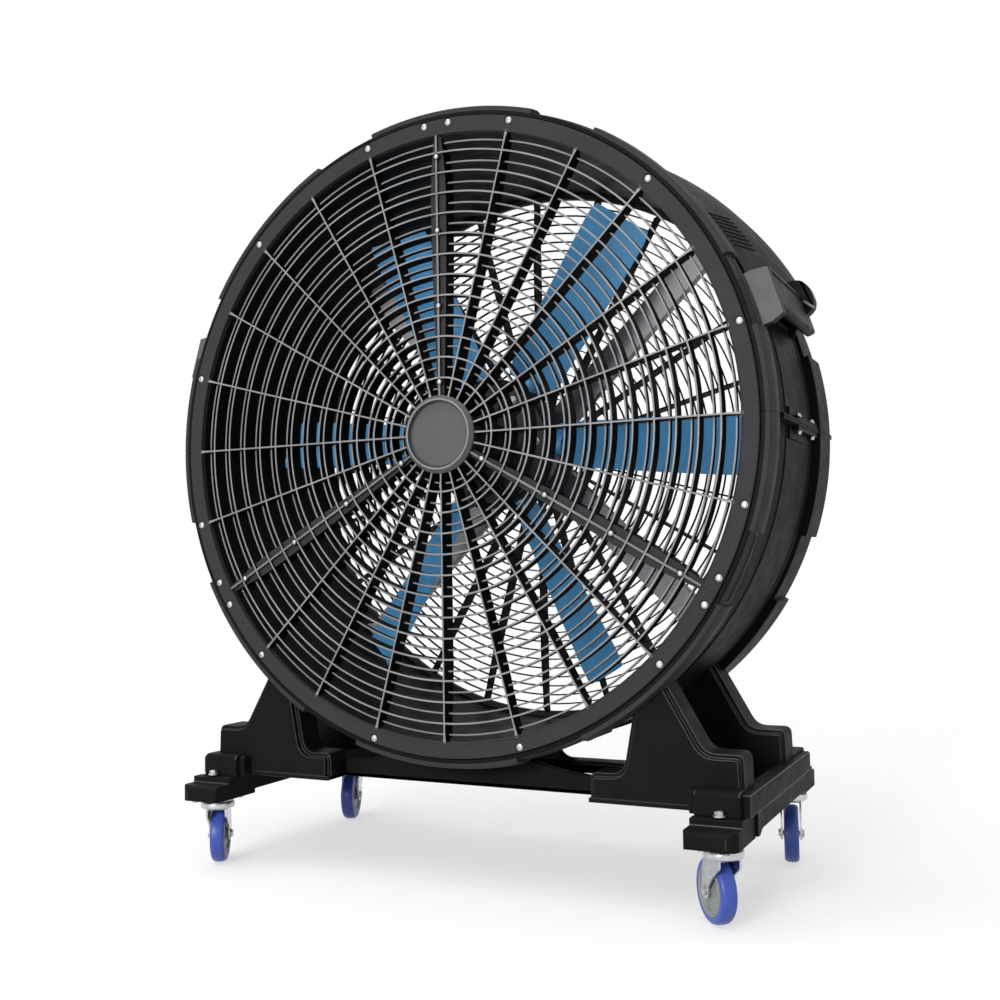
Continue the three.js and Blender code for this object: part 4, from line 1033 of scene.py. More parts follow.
class FAN_OT_rear_guard(bpy.types.Operator):
    """Build the rear guard in one piece with its cap"""

    bl_idname = "fan.build_rear_guard"
    bl_label = "Rear guard"

    def execute(self, context):
        guard = context.scene.fan_guard
        pieces = [
            painted_light_and_shade(spun(wire_sections(guard), 360, 144), guard),
            painted(spun(flange_section(guard), 360, 180), RING),
            painted(spun(core_section(guard, guard.rib_depth), 360, 96), RING),
        ]
        rib = painted_light_and_shade(guard_rib(guard), guard)
        step = math.degrees(guard.rib_step)
        for i in range(round(360 / step)):
            pieces.append(copied(rib, "rear_rib", about_axis(i * step)))
        removed(rib)
        about_face = LIFT @ turn_about("Z", 180)
        name = "rear_guard_moulding"
        finished(moved(joined(pieces, name), about_face), name, None, "rear_guard", slot="guard_plastic")
        height, outer = guard.cap_height / 2, guard.cap
        corners = [
            (0, -height), (guard.cap_disc, -height), (outer - 0.004, -0.003), (outer, -0.001), (outer, 0), (0, 0.004),
        ]
        cap = moved(revolved("rear_plain_cap", corners, 96, FRONT - SIT), about_face)
        finished(cap, "rear_plain_cap", "satin_cap_plastic", "rear_cap")
        return {"FINISHED"}


# ---- impeller and motor ----


def blade_section(drive, radius, plane):
    """A blade's section at a radius; its leading edge lies behind its trailing edge."""
    along = (radius - drive.root) / (drive.tip - drive.root)
    bow = math.sin(along * math.pi / 2)
    chord = drive.chord_root + (drive.chord_tip - drive.chord_root) * bow
    chord *= 1 - 0.10 * max(0, (along - 0.94) / 0.06) ** 2 - 0.14 * max(0, (0.05 - along) / 0.05)
    pitch = drive.pitch_root + (drive.pitch_tip - drive.pitch_root) * along
    upper = [(u, 1) for u in (0.03, 0.12, 0.3, 0.5, 0.7, 0.88, 0.98)]
    points = []
    for u, side in [(0.0, 0), *upper, (1.0, 0)] + [(u, -1) for u, _ in reversed(upper)]:
        hump, across = 4 * u * (1 - u), (u - 0.5) * chord
        rise = hump * drive.camber + side * drive.thick / 2 * hump**0.4
        y = plane - across * math.sin(pitch) + rise * math.cos(pitch)
        points.append((radius, y, across * math.cos(pitch) + rise * math.sin(pitch)))
    return outline("blade", points)


def blade(drive, plane):
    """A twisted blade bridged through its sections, on a round shank."""
    length_of = drive.tip - drive.root
    places = (0, 0.025, 0.08, 0.2, 0.35, 0.5, 0.65, 0.8, 0.92, 0.97, 1)
    wing = joined([blade_section(drive, drive.root + length_of * place, plane) for place in places], "blade")
    with editing(wing, "EDGE"):
        select_mesh()
        bpy.ops.mesh.delete(type="ONLY_FACE")
        select_mesh()
        bpy.ops.mesh.bridge_edge_loops()
        select_mesh()
        bpy.ops.mesh.fill_holes(sides=0)
    parts = [softened(facing_out(wing), 0.0012, 1, 60)]
    for name, wide, start, end, width, segments in (
        ("shank", 1, drive.hub - 0.038, drive.root + 0.012, 0.004, 3),
        ("collar", 1.25, drive.hub - 0.001, drive.hub + 0.006, 0.0015, 2),
    ):
        round_part = rod(name, drive.shank * wide, (start, plane, 0), (end, plane, 0), 40)
        parts.append(softened(round_part, width, segments))
    return joined(parts, "blade")


class FAN_OT_impeller(bpy.types.Operator):
    """Build the hub, its nose, the shaft and the blades"""

    bl_idname = "fan.build_impeller"
    bl_label = "Impeller"

    def execute(self, context):
        drive, edge, deep = context.scene.fan_drive, 0.006, HUB_BACK - HUB_FRONT
        plane, hub = (HUB_FRONT + HUB_BACK) / 2, drive.hub
        corners = [
            (drive.shaft + SIT, 0), (drive.nose + edge, 0), (drive.nose + edge + 0.004, 0.001), (hub * 0.66, 0.008),
            (hub - 2.4 * edge, 0.008), (hub - 1.6 * edge, 0.001), (hub - edge, 0), (hub - 0.0015, 0.0025),
            (hub, edge), (hub, deep - edge), (hub - edge, deep), (drive.shaft + SIT, deep),
        ]
        name = "impeller_hub_casting"
        parts = [revolved(name, corners, 96, HUB_FRONT)]
        for i in range(12):
            low = (drive.nose + 0.004, HUB_FRONT + 0.0008, -0.0025)
            web = block("web", low, (hub - 0.008, HUB_FRONT + 0.010, 0.0025))
            parts.append(moved(softened(web, 0.0008, 1), about_axis(15 + i * 30)))
        finished(moved(joined(parts, name), LIFT), name, DARK_SHADED, "impeller_hub", body="impeller")
        bolt = moved(hexagon_bolt("hub_bolt", 0.013, 0.006), UPRIGHT)
        for i in range(6):
            name, at = f"hub_bolt_{i + 1}", to(0.112, HUB_FRONT + 0.008, 0)
            finished(copied(bolt, name, LIFT @ about_axis(i * 60) @ at), name, DULL, body="impeller")
        removed(bolt)
        dome = [(0, -drive.nose_height)]
        for turn in range(15, 90, 15):
            a = math.radians(turn)
            dome.append((drive.nose * math.sin(a), -drive.nose_height * math.cos(a)))
        dome += [(drive.nose, -0.001), (drive.nose, 0), (0, 0)]
        nose = moved(revolved("nose_cover", dome, 64, HUB_FRONT - SIT), LIFT)
        finished(nose, "nose_cover", DARK_SHADED, "hub_nose", body="impeller")
        shaft = rod("steel_shaft", drive.shaft, (0, HUB_FRONT, 0), (0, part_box("motor_shaft")[1].y, 0), 48)
        finished(moved(softened(shaft, 0.001), LIFT), "steel_shaft", ZINC, "motor_shaft", body="impeller")
        one = blade(drive, plane)
        for i in range(drive.blades):
            name, turn = f"blue_blade_{i + 1}", math.degrees(drive.turn) + i * 360 / drive.blades
            piece = copied(one, name, LIFT @ about_axis(turn))
            finished(piece, name, "blue_blade_plastic", f"blade_{i + 1}", body="impeller")
        removed(one)
        return {"FINISHED"}


class FAN_OT_motor(bpy.types.Operator):
    """Build the motor, its terminal box, the plate and the four struts"""

    bl_idname = "fan.build_motor"
    bl_label = "Motor"

    def execute(self, context):
        drive, drum = context.scene.fan_drive, context.scene.fan_drum
        self.body(drive, drive.shaft + 0.001)
        self.terminal_box()
        front, back = (corner.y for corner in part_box("motor_plate"))
        plate = softened(rod("plate", drive.plate, (0, front, 0), (0, back, 0), 96), 0.001)
        finished(moved(plate, LIFT), "motor_mount_plate", GREY, "motor_plate")
        self.struts(drive, drum.bore - 0.001, back + SIT)
        return {"FINISHED"}

    def body(self, drive, bore):
        core, ribbed, edge = drive.motor - 0.010, drive.motor - 0.007, 0.006
        back_of_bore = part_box("motor_shaft")[1].y + 0.001
        corners = [
            (bore, MOTOR_FRONT), (core - edge, MOTOR_FRONT), (ribbed, MOTOR_FRONT + 0.002),
            (ribbed, MOTOR_FRONT + 0.014), (core, MOTOR_FRONT + 0.016), (core, MOTOR_BACK - 0.016),
            (ribbed, MOTOR_BACK - 0.014), (ribbed, MOTOR_BACK - 0.002), (core - edge, MOTOR_BACK),
            (0, MOTOR_BACK), (0, back_of_bore), (bore, back_of_bore),
        ]
        parts = [revolved("motor_casting", corners)]
        fin = block("fin", (core - 0.002, MOTOR_FRONT + 0.016, -0.0014), (drive.motor, MOTOR_BACK - 0.016, 0.0014))
        softened(fin, 0.0007, 1)
        for i in range(drive.fins):
            past_top = (i + 0.5) * 360 / drive.fins
            if abs((past_top + 180) % 360 - 180) > 22:
                parts.append(copied(fin, "fin", about_axis(90 + past_top)))
        removed(fin)
        middle = (MOTOR_FRONT + MOTOR_BACK) / 2
        pad = block("pad", (-0.038, middle - 0.042, 0.05), (0.038, middle + 0.042, drive.motor + 0.012))
        parts.append(softened(pad, 0.003))
        finished(moved(joined(parts, "motor_casting"), LIFT), "motor_casting", GREY, "motor_body")
        bell = [
            (bore, -0.024), (0.030, -0.024), (0.036, -0.0225), (0.074, -0.0145), (0.082, -0.012), (0.087, -0.008),
            (0.088, -0.004), (0.088, 0), (bore, 0),
        ]
        shield = moved(revolved("motor_end_shield", bell, 96, MOTOR_FRONT - SIT), LIFT)
        finished(shield, "motor_end_shield", GREY, "motor_bell")

    def terminal_box(self):
        low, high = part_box("terminal_box")
        lid_line, name = high.z - 0.009, "terminal_box_cover"
        lower = softened(block("box", low, (high.x, high.y, lid_line)), 0.004, 3)
        lid = softened(block("lid", (low.x, low.y, lid_line + 0.0006), high), 0.004, 3)
        neck = block("neck", low + Vector((0.004, 0.004, 0.01)), high - Vector((0.004, 0.004, 0.004)))
        finished(joined([lower, lid, neck], name), name, DARK_SHADED, "terminal_box")

    def struts(self, drive, bore, front):
        back, half, wall = front + drive.strut_depth, drive.strut / 2, drive.strut_wall
        channel = [
            (back, -half), (front + 0.002, -half), (front, -half + 0.002), (front, half - 0.002),
            (front + 0.002, half), (back, half), (back, half - wall), (front + wall, half - wall),
            (front + wall, wall - half), (back, wall - half),
        ]
        end = math.sqrt(bore**2 - half**2)
        parts = [softened(sheet_yz("strut", channel, 0.085, end), 0.0006, 1)]
        for sign in (1, -1):
            z = sorted((sign * (half - 0.012), sign * (half + 0.010)))
            shoe = block("shoe", (end - 0.008, front + 0.001, z[0]), (end - 0.002, back - 0.002, z[1]))
            parts.append(softened(shoe, 0.001, 1))
        one = joined(parts, "strut")
        for i in range(4):
            name = f"channel_strut_{i + 1}"
            finished(copied(one, name, LIFT @ about_axis(45 + 90 * i)), name, GREY, f"strut_{i + 1}")
        removed(one)


# ---- handles ----


class FAN_OT_handles(bpy.types.Operator):
    """Build the grab handle on each side of the drum"""

    bl_idname = "fan.build_handles"
    bl_label = "Handles"

    def execute(self, context):
        handle = context.scene.fan_handle
        front, back = FRONT + 0.050, FRONT + 0.378
        corners = [
            (IN_WALL, -0.078), (0.7115, -0.081, 0.002), (0.738, -0.074, 0.003), (0.744, 0.0225, 0.003),
            (0.7115, 0.030, 0.002), (IN_WALL, 0.030),
        ]
        parts = [softened(sheet_xz("front_lug", corners, front, front + handle.lug_thick), 0.0015, 2, 40)]
        corners = [
            (0.672, -0.040), (0.700, -0.040), (0.722, -0.012, 0.012), (0.748, -0.010, 0.012),
            (0.7645, 0.006, 0.014), (0.7645, 0.052, 0.018), (0.744, 0.072, 0.016), (0.718, 0.072, 0.012),
            (0.698, 0.098), (0.672, 0.098),
        ]
        parts.append(softened(sheet_xz("rear_lug", corners, back, back + 0.030), 0.005, 3, 40))
        half, sag = handle.grip_across / 2, 0.014
        low, high = handle.grip - handle.grip_radial / 2, handle.grip + handle.grip_radial / 2
        bottom, top = -half - sag, half - sag
        corners = [(low, bottom, 0.008), (high - 0.004, bottom, 0.008), (high, top, 0.006), (low, top, 0.008)]
        parts.append(softened(sheet_xz("grip", corners, front + 0.004, back + 0.024), 0.001, 1))
        ledge = block("ledge", (high - 0.012, front + 0.01, top - 0.006), (high + 0.003, back + 0.010, top + 0.003))
        start, end = front + 0.010, back + 0.020
        corners = [(start, -0.030), (end, -0.030), (end, 0.030), (start, 0.030)]
        foot_bar = softened(sheet_yz("foot_bar", corners, IN_WALL, 0.694), 0.003)
        # The bar's rearward rim takes the pale highlight finish: a painted glint.
        corners = [(0.735, 0.024), (0.7385, 0.030), (0.7605, -0.004), (0.7575, -0.010)]
        bar = softened(sheet_xz("bar", corners, back - 0.003, back + 0.003), 0.001)
        whole = joined([*parts, softened(ledge, 0.0018), foot_bar, bar], "grab_handle_right")

        # Forward faces of the front lug take the lighter colour as painted light, and the bar's rim takes a painted
        # highlight.
        def facing(centre, normal):
            lug, rim = centre.y < front + 0.0012, back - 0.0035 < centre.y < back - 0.0015
            return (1 if lug else 2 * rim) if normal.y < -0.5 else 0

        painted(whole, "handle_grip_plastic", "handle_lit_face_plastic", "painted_highlight_plastic", pick=facing)
        right = moved(whole, LIFT @ about_axis(math.degrees(handle.place)))
        left = mirrored(right, "grab_handle_left")
        for word, piece in (("right", right), ("left", left)):
            finished(piece, "grab_handle_" + word, None, "handle_" + word, slot="handle_plastic")
        return {"FINISHED"}


# ---- pedestals and base ----


def cheek(stand, y_from, y_to):
    """A cheek with a step all round its contour at both faces; its top ends inside the drum's wall."""
    out, inner, shelf, low = stand.cheek_out, stand.cheek_in, stand.shelf, stand.low_shelf
    corners = [
        (inner, DECK), (out, DECK), (out - 0.004, shelf, 0.015), (out - 0.078, shelf, 0.021),
        (out - 0.165, shelf + 0.152), (inner + 0.102, low + 0.170), (inner + 0.070, low, 0.026), (inner, low, 0.015),
    ]
    depth = 1.35 * stand.step
    body = sheet_xz("cheek", corners, y_from + depth, y_to - depth)
    with editing(body):
        pick_faces(body, lambda centre, normal: abs(normal.y) > 0.99)
        bpy.ops.mesh.inset(thickness=stand.step)
    for sign in (-1, 1):
        with editing(body):
            shape = bmesh.from_edit_mesh(body.data)
            biggest = max((f for f in shape.faces if f.normal.y * sign > 0.99), key=lambda f: f.calc_area())
            biggest.select_set(True)
            bmesh.update_edit_mesh(body.data)
            extruded((0, sign * depth, 0))
    return softened(body, 0.0018, 2, 30)


def pedestal(stand):
    """The moulding under the drum's right side: two cheeks, a deck, a sill, corner blocks and a web."""
    face, reach, edge, top = -0.245, stand.block_reach, 0.006, stand.block_top
    parts = [cheek(stand, face, -0.155), cheek(stand, 0.100, 0.190)]
    deck = block("deck", (stand.cheek_in, face, DECK), (stand.sill_out - 0.006, reach, DECK + stand.deck))
    corners = [
        (stand.sill_in, DECK), (stand.sill_out, DECK), (stand.sill_out, stand.sill_top, edge),
        (stand.sill_in, stand.sill_top, edge),
    ]
    sill = sheet_xz("sill", corners, 3 * edge - reach, reach - 3 * edge)
    parts += [softened(deck, 0.001, 1), softened(sill, 0.002, 2, 40)]
    for sign, back in ((-1, -0.233), (1, 0.178)):
        corners = [
            (sign * reach, DECK), (sign * (reach - 0.002), top, 0.010), (back, top), (back, DECK),
        ]
        part = sheet_yz("corner_block", corners, stand.block_in, stand.cheek_out)
        parts.append(softened(part, 0.0035, 3, 40))
        y = sorted((sign * (reach - 0.014), back))
        low = (stand.block_in - 0.013, y[0], DECK)
        slim = block("slim_block", low, (stand.block_in + 0.004, y[1], top - 0.003))
        parts.append(softened(slim, 0.003, 2, 40))
    inner = stand.cheek_in
    web = block("web", (inner + 0.012, -0.170, DECK), (inner + 0.020, 0.115, stand.low_shelf - 0.012))
    return joined([*parts, softened(web, 0.001, 1)], "pedestal_moulding_right")


class FAN_OT_pedestals(bpy.types.Operator):
    """Build the pedestal under each side of the drum"""

    bl_idname = "fan.build_pedestals"
    bl_label = "Pedestals"

    def execute(self, context):
        right = pedestal(context.scene.fan_stand)
        left = mirrored(right, "pedestal_moulding_left")
        for word, piece in (("right", right), ("left", left)):
            finished(piece, "pedestal_moulding_" + word, BLACK, "pedestal_" + word, edges=True)
        return {"FINISHED"}


def foot(stand):
    """The block over a caster: a low nose with round edges, a ledge and the pedestal's seat."""
    seat, reach, top = DECK - SIT, -stand.block_reach - SIT, stand.foot_top
    (x0, nose, low), (x1, back, _) = FOOT_LOW, FOOT_HIGH
    corners = [
        (back, low), (back, seat), (reach, seat), (reach, stand.ledge_top, 0.002),
        (-stand.ledge, stand.ledge_top, 0.004), (-stand.ledge, top, 0.003), (nose, top, 0.011), (nose, low, 0.007),
    ]
    body, over = sheet_yz("foot", corners, x0, x1), 0.001
    corners = [
        (x0 - over, nose - over, 0.012), (x1 + over, nose - over, 0.030), (x1 + over, back + over),
        (x0 - over, back + over),
    ]
    cut_by(body, sheet_xy("plan", corners, low - over, DECK + over), "INTERSECT")
    return softened(body, 0.0045, 3, 50)


def side_rail(stand):
    """The skirt between two feet, stepping down to them in a short curve, with a shelf and a second skirt."""
    top, low, foot_low, end = DECK - SIT, stand.skirt_bottom, FOOT_LOW.z, -FOOT_HIGH.y - SIT
    out, shelf_in = stand.sill_out, 0.556

    def hanging(bottom, x_from, x_to):
        half = [(end - 0.030, bottom, 0.010), (end - 0.012, foot_low + 0.002, 0.006), (end, foot_low + 0.002)]
        corners = [(-y, *rest) for y, *rest in reversed(half)] + half + [(end, top), (-end, top)]
        return softened(sheet_yz("skirt", corners, x_from, x_to), 0.0012, 2, 40)

    shelf = block("shelf", (shelf_in, -end, top - 0.007), (out - 0.003, end, top))
    bead = block("bead", (out - 0.009, 0.034 - end, low - 0.0005), (out - 0.0004, end - 0.034, low + 0.006))
    parts = [hanging(low, out - 0.007, out), hanging(low - 0.008, shelf_in - 0.002, shelf_in + 0.005)]
    return joined([*parts, softened(shelf, 0.001, 1), softened(bead, 0.001, 1)], "side_skirt_right")


def cross_beam(stand, y_front, height, c, name):
    """A web across the base that bears on the drum, stepped along its swept shoulders, with a flange."""
    end, crown, parts = stand.cheek_in - SIT, AXIS - IN_WALL, []
    for drop, shift, less in ((0, 0.005, 0.010), (0.006, 0.0, 0.005), (0.012, 0.008, 0.008)):
        shoulder = height - drop * 0.55
        right = [
            (end, DECK), (end, shoulder), (c + 0.115, shoulder + 0.001, 0.10),
            (c + 0.020 - drop, shoulder + 0.036, 0.018), (c - drop, crown),
        ]
        left = [(-x, *rest) for x, *rest in reversed(right)]
        corners = [left[-1], *right, *left[:-1]]
        layer = sheet_xz(name, corners, y_front + shift, y_front + shift + stand.beam_wall - less)
        parts.append(softened(layer, 0.001, 2, 30))
    flange = block(name, (-end, y_front, DECK), (end, y_front + 0.044, DECK + 0.009))
    return joined([*parts, softened(flange, 0.0015)], name)


class FAN_OT_base(bpy.types.Operator):
    """Build the feet, the side skirts, the cross beams and their bolts"""

    bl_idname = "fan.build_base"
    bl_label = "Base"

    def execute(self, context):
        stand = context.scene.fan_stand
        skirt, front_foot = side_rail(stand), foot(stand)
        bolt = hexagon_bolt("ledge_bolt", stand.bolt, 0.009)
        spot = to(0.588, -(stand.ledge + stand.block_reach) / 2, stand.ledge_top - 0.0002)
        for word, sign in SIDES.items():
            flip = Matrix.Diagonal((sign, 1, 1, 1))
            name = "side_skirt_" + word
            finished(facing_out(copied(skirt, name, flip)), name, BLACK, "side_rail_" + word, edges=True)
            for end, back in (("front", 1), ("rear", -1)):
                matrix, place = Matrix.Diagonal((sign, back, 1, 1)), f"{end}_{word}"
                piece = facing_out(copied(front_foot, "corner_foot_" + place, matrix))
                finished(piece, piece.name, BLACK, "foot_" + place, edges=True)
                piece = facing_out(copied(bolt, "ledge_bolt_" + place, matrix @ spot))
                finished(piece, piece.name, DULL)
        removed(skirt, front_foot, bolt)
        crown = stand.beam_crown
        for end, height, c in (("front", stand.beam_shoulder, crown), ("rear", stand.rear_shoulder, crown * 0.6)):
            node = "cross_beam_" + end
            beam = cross_beam(stand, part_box(node)[0].y, height, c, node + "_web")
            finished(beam, node + "_web", BLACK, node, edges=True)
        return {"FINISHED"}


# ---- casters ----


def caster_plate():
    """The square plate with its bolts, the raceway and the kingpin."""
    low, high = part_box("caster_front_right_plate")
    wide, long, under = (high.x - low.x) / 2, (high.y - low.y) / 2, CASTER_TOP - 0.004
    corners = [(-wide, -long, 0.01), (wide, -long, 0.01), (wide, long, 0.01), (-wide, long, 0.01)]
    plate = softened(sheet_xy("plate", corners, under, CASTER_TOP), 0.0006, 1)
    corners = [(0, 0), (0.035, 0), (0.0358, 0.001), (0.0358, 0.003), (0.034, 0.005), (0, 0.005)]
    race = moved(revolved("race", corners, 64), to(0, 0, under) @ turn_about("X", -90))
    pin = softened(rod("pin", 0.007, (0, 0, CROWN_HIGH), (0, 0, under), 24), 0.0006, 1)
    parts = [plate, race, pin]
    for x in (-0.030, 0.030):
        for y in (-0.043, 0.043):
            nut = hexagon_bolt("nut", 0.011, 0.0045)
            parts.append(moved(nut, to(x, y, under + 0.0005) @ turn_about("X", 180)))
    return joined(parts, "caster_plate")


def fork_leg(caster, y_from, y_to):
    """A pressed leg sweeping from the head down to the axle."""
    x, z, top = caster.trail, caster.wheel, CROWN_HIGH
    points = [(-0.026, top), (-0.026, 0.113, 0.010), (0.004, 0.094, 0.020), (x - 0.0145, z + 0.012, 0.006)]
    for turn in range(180, 361, 20):
        a = math.radians(turn)
        points.append((x + 0.015 * math.cos(a), z + 0.015 * math.sin(a)))
    points += [(x + 0.0148, z + 0.010, 0.006), (0.047, 0.108, 0.014), (0.037, top - 0.002, 0.006), (0.032, top)]
    return softened(sheet_xz("leg", points, y_from, y_to), 0.0008, 2, 40)


def caster_fork(caster):
    inner = caster.width / 2 + caster.side_gap
    outer, low, head = inner + caster.wall, 2 * caster.wheel + 0.003, caster.head
    parts = [fork_leg(caster, -outer, -inner), fork_leg(caster, inner, outer)]
    corners = [(-0.026, -outer, 0.006), (0.032, -outer, 0.006), (0.032, outer, 0.006), (-0.026, outer, 0.006)]
    parts.append(softened(sheet_xy("crown", corners, low, low + caster.wall), 0.0012))
    corners = [
        (0.0085, 0), (head - 0.004, 0), (head - 0.001, 0.002), (head, 0.005), (head, 0.011), (head - 0.0015, 0.0135),
        (head - 0.005, 0.0146), (0.0085, 0.0150),
    ]
    dish_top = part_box("caster_front_right_fork")[1].z
    parts.append(moved(revolved("head", corners, 72), to(0, 0, dish_top - 0.015) @ UPRIGHT))
    for sign in (1, -1):
        y = sorted((sign * (inner + 0.001), sign * (outer + 0.0006)))
        boss = rod("boss", 0.0125, (caster.trail, y[0], caster.wheel), (caster.trail, y[1], caster.wheel))
        parts.append(softened(boss, SIT, 1))
    return joined(parts, "caster_fork")


def caster_axle(caster):
    """The axle bolt with its hexagon head, washers and nut."""
    outer = caster.width / 2 + caster.side_gap + caster.wall
    shank = rod("axle", caster.axle, (0, -outer - 0.004, 0), (0, outer + 0.0055, 0), 28)
    parts = [softened(shank, 0.0006, 1)]
    for sign in (1, -1):
        face = sign * (outer + 0.0007)
        seat = face + sign * 0.0008
        washer = rod("washer", 0.0098, (0, face, 0), (0, seat, 0))
        nut = rod("nut", 0.0085, (0, seat, 0), (0, face + sign * 0.0046, 0), 6)
        parts += [softened(washer, 0.0002, 1), softened(nut, 0.0008)]
    return joined(parts, "caster_axle")


def wheel_core(caster):
    half, rim = caster.width / 2, caster.wheel - caster.tread
    side = [
        (0.0057, 0.001), (0.0115, 0.001), (0.0125, 0), (0.0135, -0.0015), (0.030, -0.0035), (0.0365, -0.0035),
        (0.0378, -0.0005), (0.0415, -0.0002), (0.0428, -0.0016), (0.0445, -0.0016), (0.0455, -0.0002), (rim, -SIT),
    ]
    side = [(radius, half + y) for radius, y in side]
    return revolved("wheel_core", side + [(radius, -y) for radius, y in reversed(side)], 72)


def wheel_tread(caster):
    half, outer, inner = caster.width / 2, caster.wheel, caster.wheel - caster.tread + SIT
    side = [
        (inner, half - 0.001), (inner + 0.001, half - 0.0002), (outer - 0.0075, half), (outer - 0.0045, half - 0.001),
        (outer - 0.0022, half - 0.0032), (outer - 0.0008, half - 0.0065), (outer - 0.0001, half - 0.011),
    ]
    return revolved("wheel_tread", [*side, (outer, 0)] + [(radius, -y) for radius, y in reversed(side)])


def trail_turn(place):
    """How far a caster has turned: from its swivel axis to its wheel, in the frame's own places."""
    plate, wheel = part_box(f"caster_{place}_plate"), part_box(f"caster_{place}_tread")
    across = (wheel[0] + wheel[1] - plate[0] - plate[1]) / 2
    spot = (plate[0] + plate[1]) / 2
    return to(spot.x, spot.y, 0) @ Matrix.Rotation(math.atan2(across.y, across.x), 4, "Z")


class FAN_OT_casters(bpy.types.Operator):
    """Build the four swivel casters"""

    bl_idname = "fan.build_casters"
    bl_label = "Casters"

    def execute(self, context):
        caster = context.scene.fan_caster
        on_axle = to(caster.trail, 0, caster.wheel)
        rows = (
            (caster_plate(), "top_plate", "plate", ZINC, None),
            (caster_fork(caster), "pressed_fork", "fork", ZINC, "fork_"),
            (moved(caster_axle(caster), on_axle), "axle_bolt", "axle", DULL, "fork_"),
            (moved(wheel_core(caster), on_axle), "wheel_core", "wheel", "wheel_nylon", "wheel_"),
            (moved(wheel_tread(caster), on_axle), "wheel_tread", "tread", "blue_polyurethane", "wheel_"),
        )
        for place in CASTERS:
            turn = trail_turn(place)
            for shape, word, node, finish, moving in rows:
                matrix = turn if moving else Matrix.Translation(turn.to_translation())
                name, body = f"{word}_{place}", moving + place if moving else STAND
                finished(copied(shape, name, matrix), name, finish, f"caster_{place}_{node}", body=body)
        removed(*(row[0] for row in rows))
        return {"FINISHED"}


# ---- stage ----


def seen_directly(tree):
    """1 for the camera's rays and for reflected and refracted ones, 0 for what only lights the scene."""
    rays = add_node(tree, "LightPath").outputs
    inputs = {0: rays["Is Camera Ray"], 1: rays["Is Glossy Ray"]}
    reflected = add_node(tree, "Math", inputs, operation="MAXIMUM").outputs[0]
    inputs = {0: reflected, 1: rays["Is Transmission Ray"]}
    return add_node(tree, "Math", inputs, operation="MAXIMUM").outputs[0]


def white_world(scene):
    """White where it is seen past the floor, soft grey for everything the light does."""
    world = bpy.data.worlds.new("studio")
    scene.world = world
    world.use_nodes = True
    tree = world.node_tree
    tree.nodes.clear()
    lights = ({"Color": (1, 1, 1, 1), "Strength": strength} for strength in (0.30, 1.0))
    soft, white = (add_node(tree, "Background", inputs).outputs[0] for inputs in lights)
    both = add_node(tree, "MixShader", {0: seen_directly(tree), 1: soft, 2: white})
    add_node(tree, "OutputWorld", {"Surface": both.outputs[0]})


def whiten(tree, shader):
    """Lifts a pale floor to white where it is seen, and leaves the shadow on it."""
    lift = add_node(tree, "Math", {0: seen_directly(tree), 1: 0.58}, operation="MULTIPLY").outputs[0]
    glow = add_node(tree, "Emission", {"Color": (1, 1, 1, 1), "Strength": lift})
    both = add_node(tree, "AddShader", {0: shader.outputs[0], 1: glow.outputs[0]})
    tree.links.new(both.outputs[0], tree.nodes["Material Output"].inputs["Surface"])


def lamp(name, kind, place, target, energy, **settings):
    """A lamp aimed at a point, with its own settings."""
    select_none()
    bpy.ops.object.light_add(type=kind, location=place)
    light = bpy.context.object
    light.name = name
    light.rotation_euler = (Vector(target) - Vector(place)).to_track_quat("-Z", "Y").to_euler()
    for key, value in {"energy": energy, **settings}.items():
        setattr(light.data, key, value)


def aimed(yaw, pitch, roll):
    """The camera's turn from its angles."""
    forward = Vector((-math.sin(yaw) * math.cos(pitch), math.cos(yaw) * math.cos(pitch), math.sin(pitch)))
    level = Vector((math.cos(yaw), math.sin(yaw), 0))
    over = level.cross(forward)
    right = level * math.cos(roll) + over * math.sin(roll)
    up = over * math.cos(roll) - level * math.sin(roll)
    return Matrix((right, up, -forward)).transposed().to_4x4()


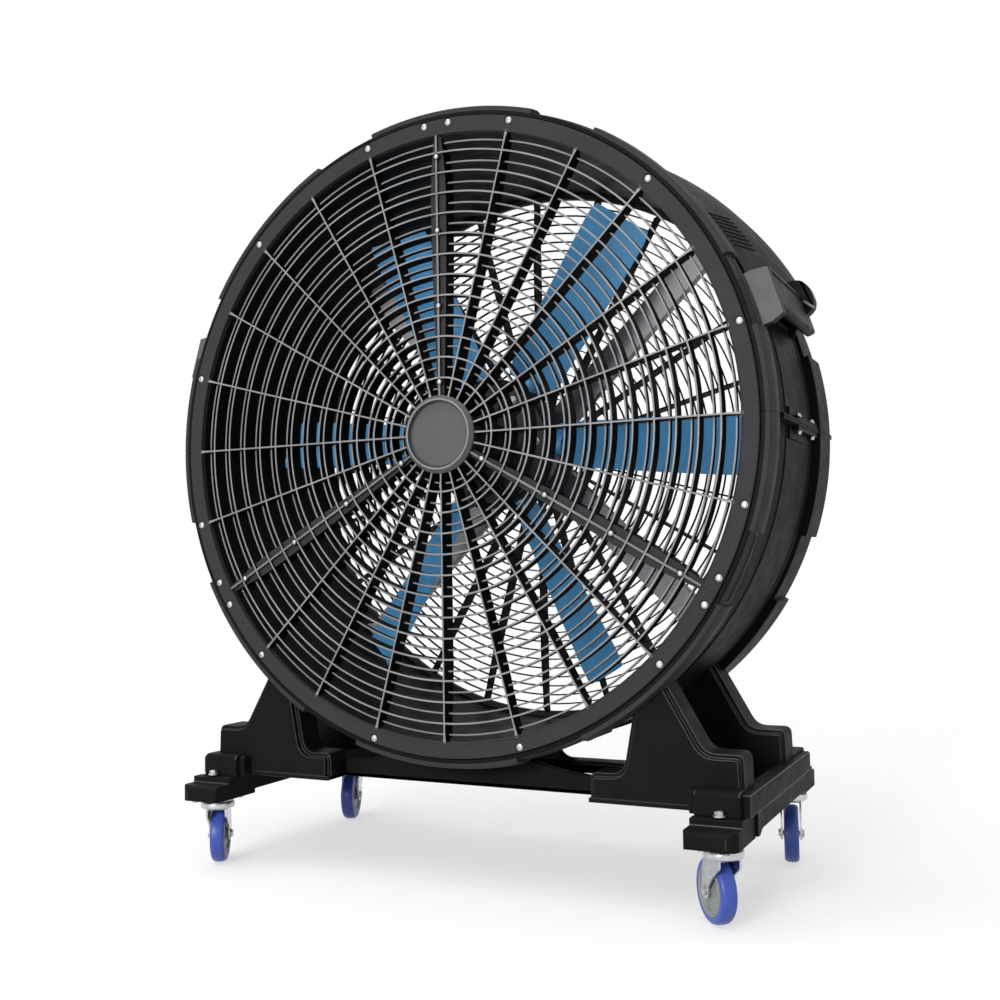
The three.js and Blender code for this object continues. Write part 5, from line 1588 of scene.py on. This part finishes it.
class FAN_OT_stage(bpy.types.Operator):
    """Set the pale floor, the soft lights, the white surround and the camera"""

    bl_idname = "fan.build_stage"
    bl_label = "Stage"

    def execute(self, context):
        stage, scene = context.scene.fan_stage, context.scene
        select_none()
        bpy.ops.mesh.primitive_plane_add(size=stage.floor, location=(0, 0, -0.0005))
        floor = bpy.context.object
        floor.name = "studio_floor"
        tree, shader, _ = blank_material("pale_studio_floor")
        shader.inputs["Base Color"].default_value = scene.fan_colours.floor
        shader.inputs["Roughness"].default_value = 0.9
        shader.inputs["Specular IOR Level"].default_value = 0.1
        whiten(tree, shader)
        floor.data.materials.append(bpy.data.materials["pale_studio_floor"])
        white_world(scene)
        middle, box = (0, 0, 0.9), {"shape": "RECTANGLE", "size": 1.6}
        lamp("overhead_softbox", "SUN", (-0.5, -0.9, 4.0), (0, 0, 0), 1.7, angle=math.radians(60))
        lamp("front_softbox", "AREA", (-0.4, -6.0, 2.1), middle, 205, **box, size_y=1.6)
        lamp("right_softbox", "AREA", (5.0, -1.4, 2.2), middle, 6, **box, size_y=3.2)
        select_none()
        bpy.ops.object.camera_add(location=stage.place)
        camera = bpy.context.object
        camera.name = "photo_camera"
        camera.matrix_world = Matrix.Translation(stage.place) @ aimed(stage.yaw, stage.pitch, stage.roll)
        camera.data.lens = stage.lens
        camera.data.sensor_width = 36
        scene.camera = camera
        scene.view_settings.view_transform = "Standard"
        return {"FINISHED"}


# ---- add-on ----

OPERATORS = (
    FAN_OT_shell,
    FAN_OT_front_guard,
    FAN_OT_rear_guard,
    FAN_OT_impeller,
    FAN_OT_motor,
    FAN_OT_handles,
    FAN_OT_pedestals,
    FAN_OT_base,
    FAN_OT_casters,
    FAN_OT_stage,
)


class FAN_PT_panel(bpy.types.Panel):
    """The fan's pieces and sizes in the 3D view's sidebar"""

    bl_idname = "FAN_PT_panel"
    bl_label = "Drum fan"
    bl_space_type = "VIEW_3D"
    bl_region_type = "UI"
    bl_category = "Drum fan"

    def draw(self, context):
        for operator in OPERATORS:
            self.layout.operator(operator.bl_idname)
        for group, sizes in SETTINGS.items():
            column = self.layout.column(align=True)
            column.label(text=sizes.__doc__)
            for key in sizes.__annotations__:
                column.prop(getattr(context.scene, group), key)


def register():
    for group in SETTINGS.values():
        bpy.utils.register_class(group)
    for operator in OPERATORS:
        bpy.utils.register_class(operator)
    bpy.utils.register_class(FAN_PT_panel)
    for key, group in SETTINGS.items():
        setattr(bpy.types.Scene, key, bpy.props.PointerProperty(type=group))


def unregister():
    for key in SETTINGS:
        delattr(bpy.types.Scene, key)
    bpy.utils.unregister_class(FAN_PT_panel)
    for cls in (*OPERATORS, *SETTINGS.values()):
        bpy.utils.unregister_class(cls)


def main():
    register()
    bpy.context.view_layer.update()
    make_materials(bpy.context.scene.fan_colours)
    for operator in OPERATORS:
        group, name = operator.bl_idname.split(".")
        getattr(getattr(bpy.ops, group), name)()


if __name__ == "__main__":
    main()
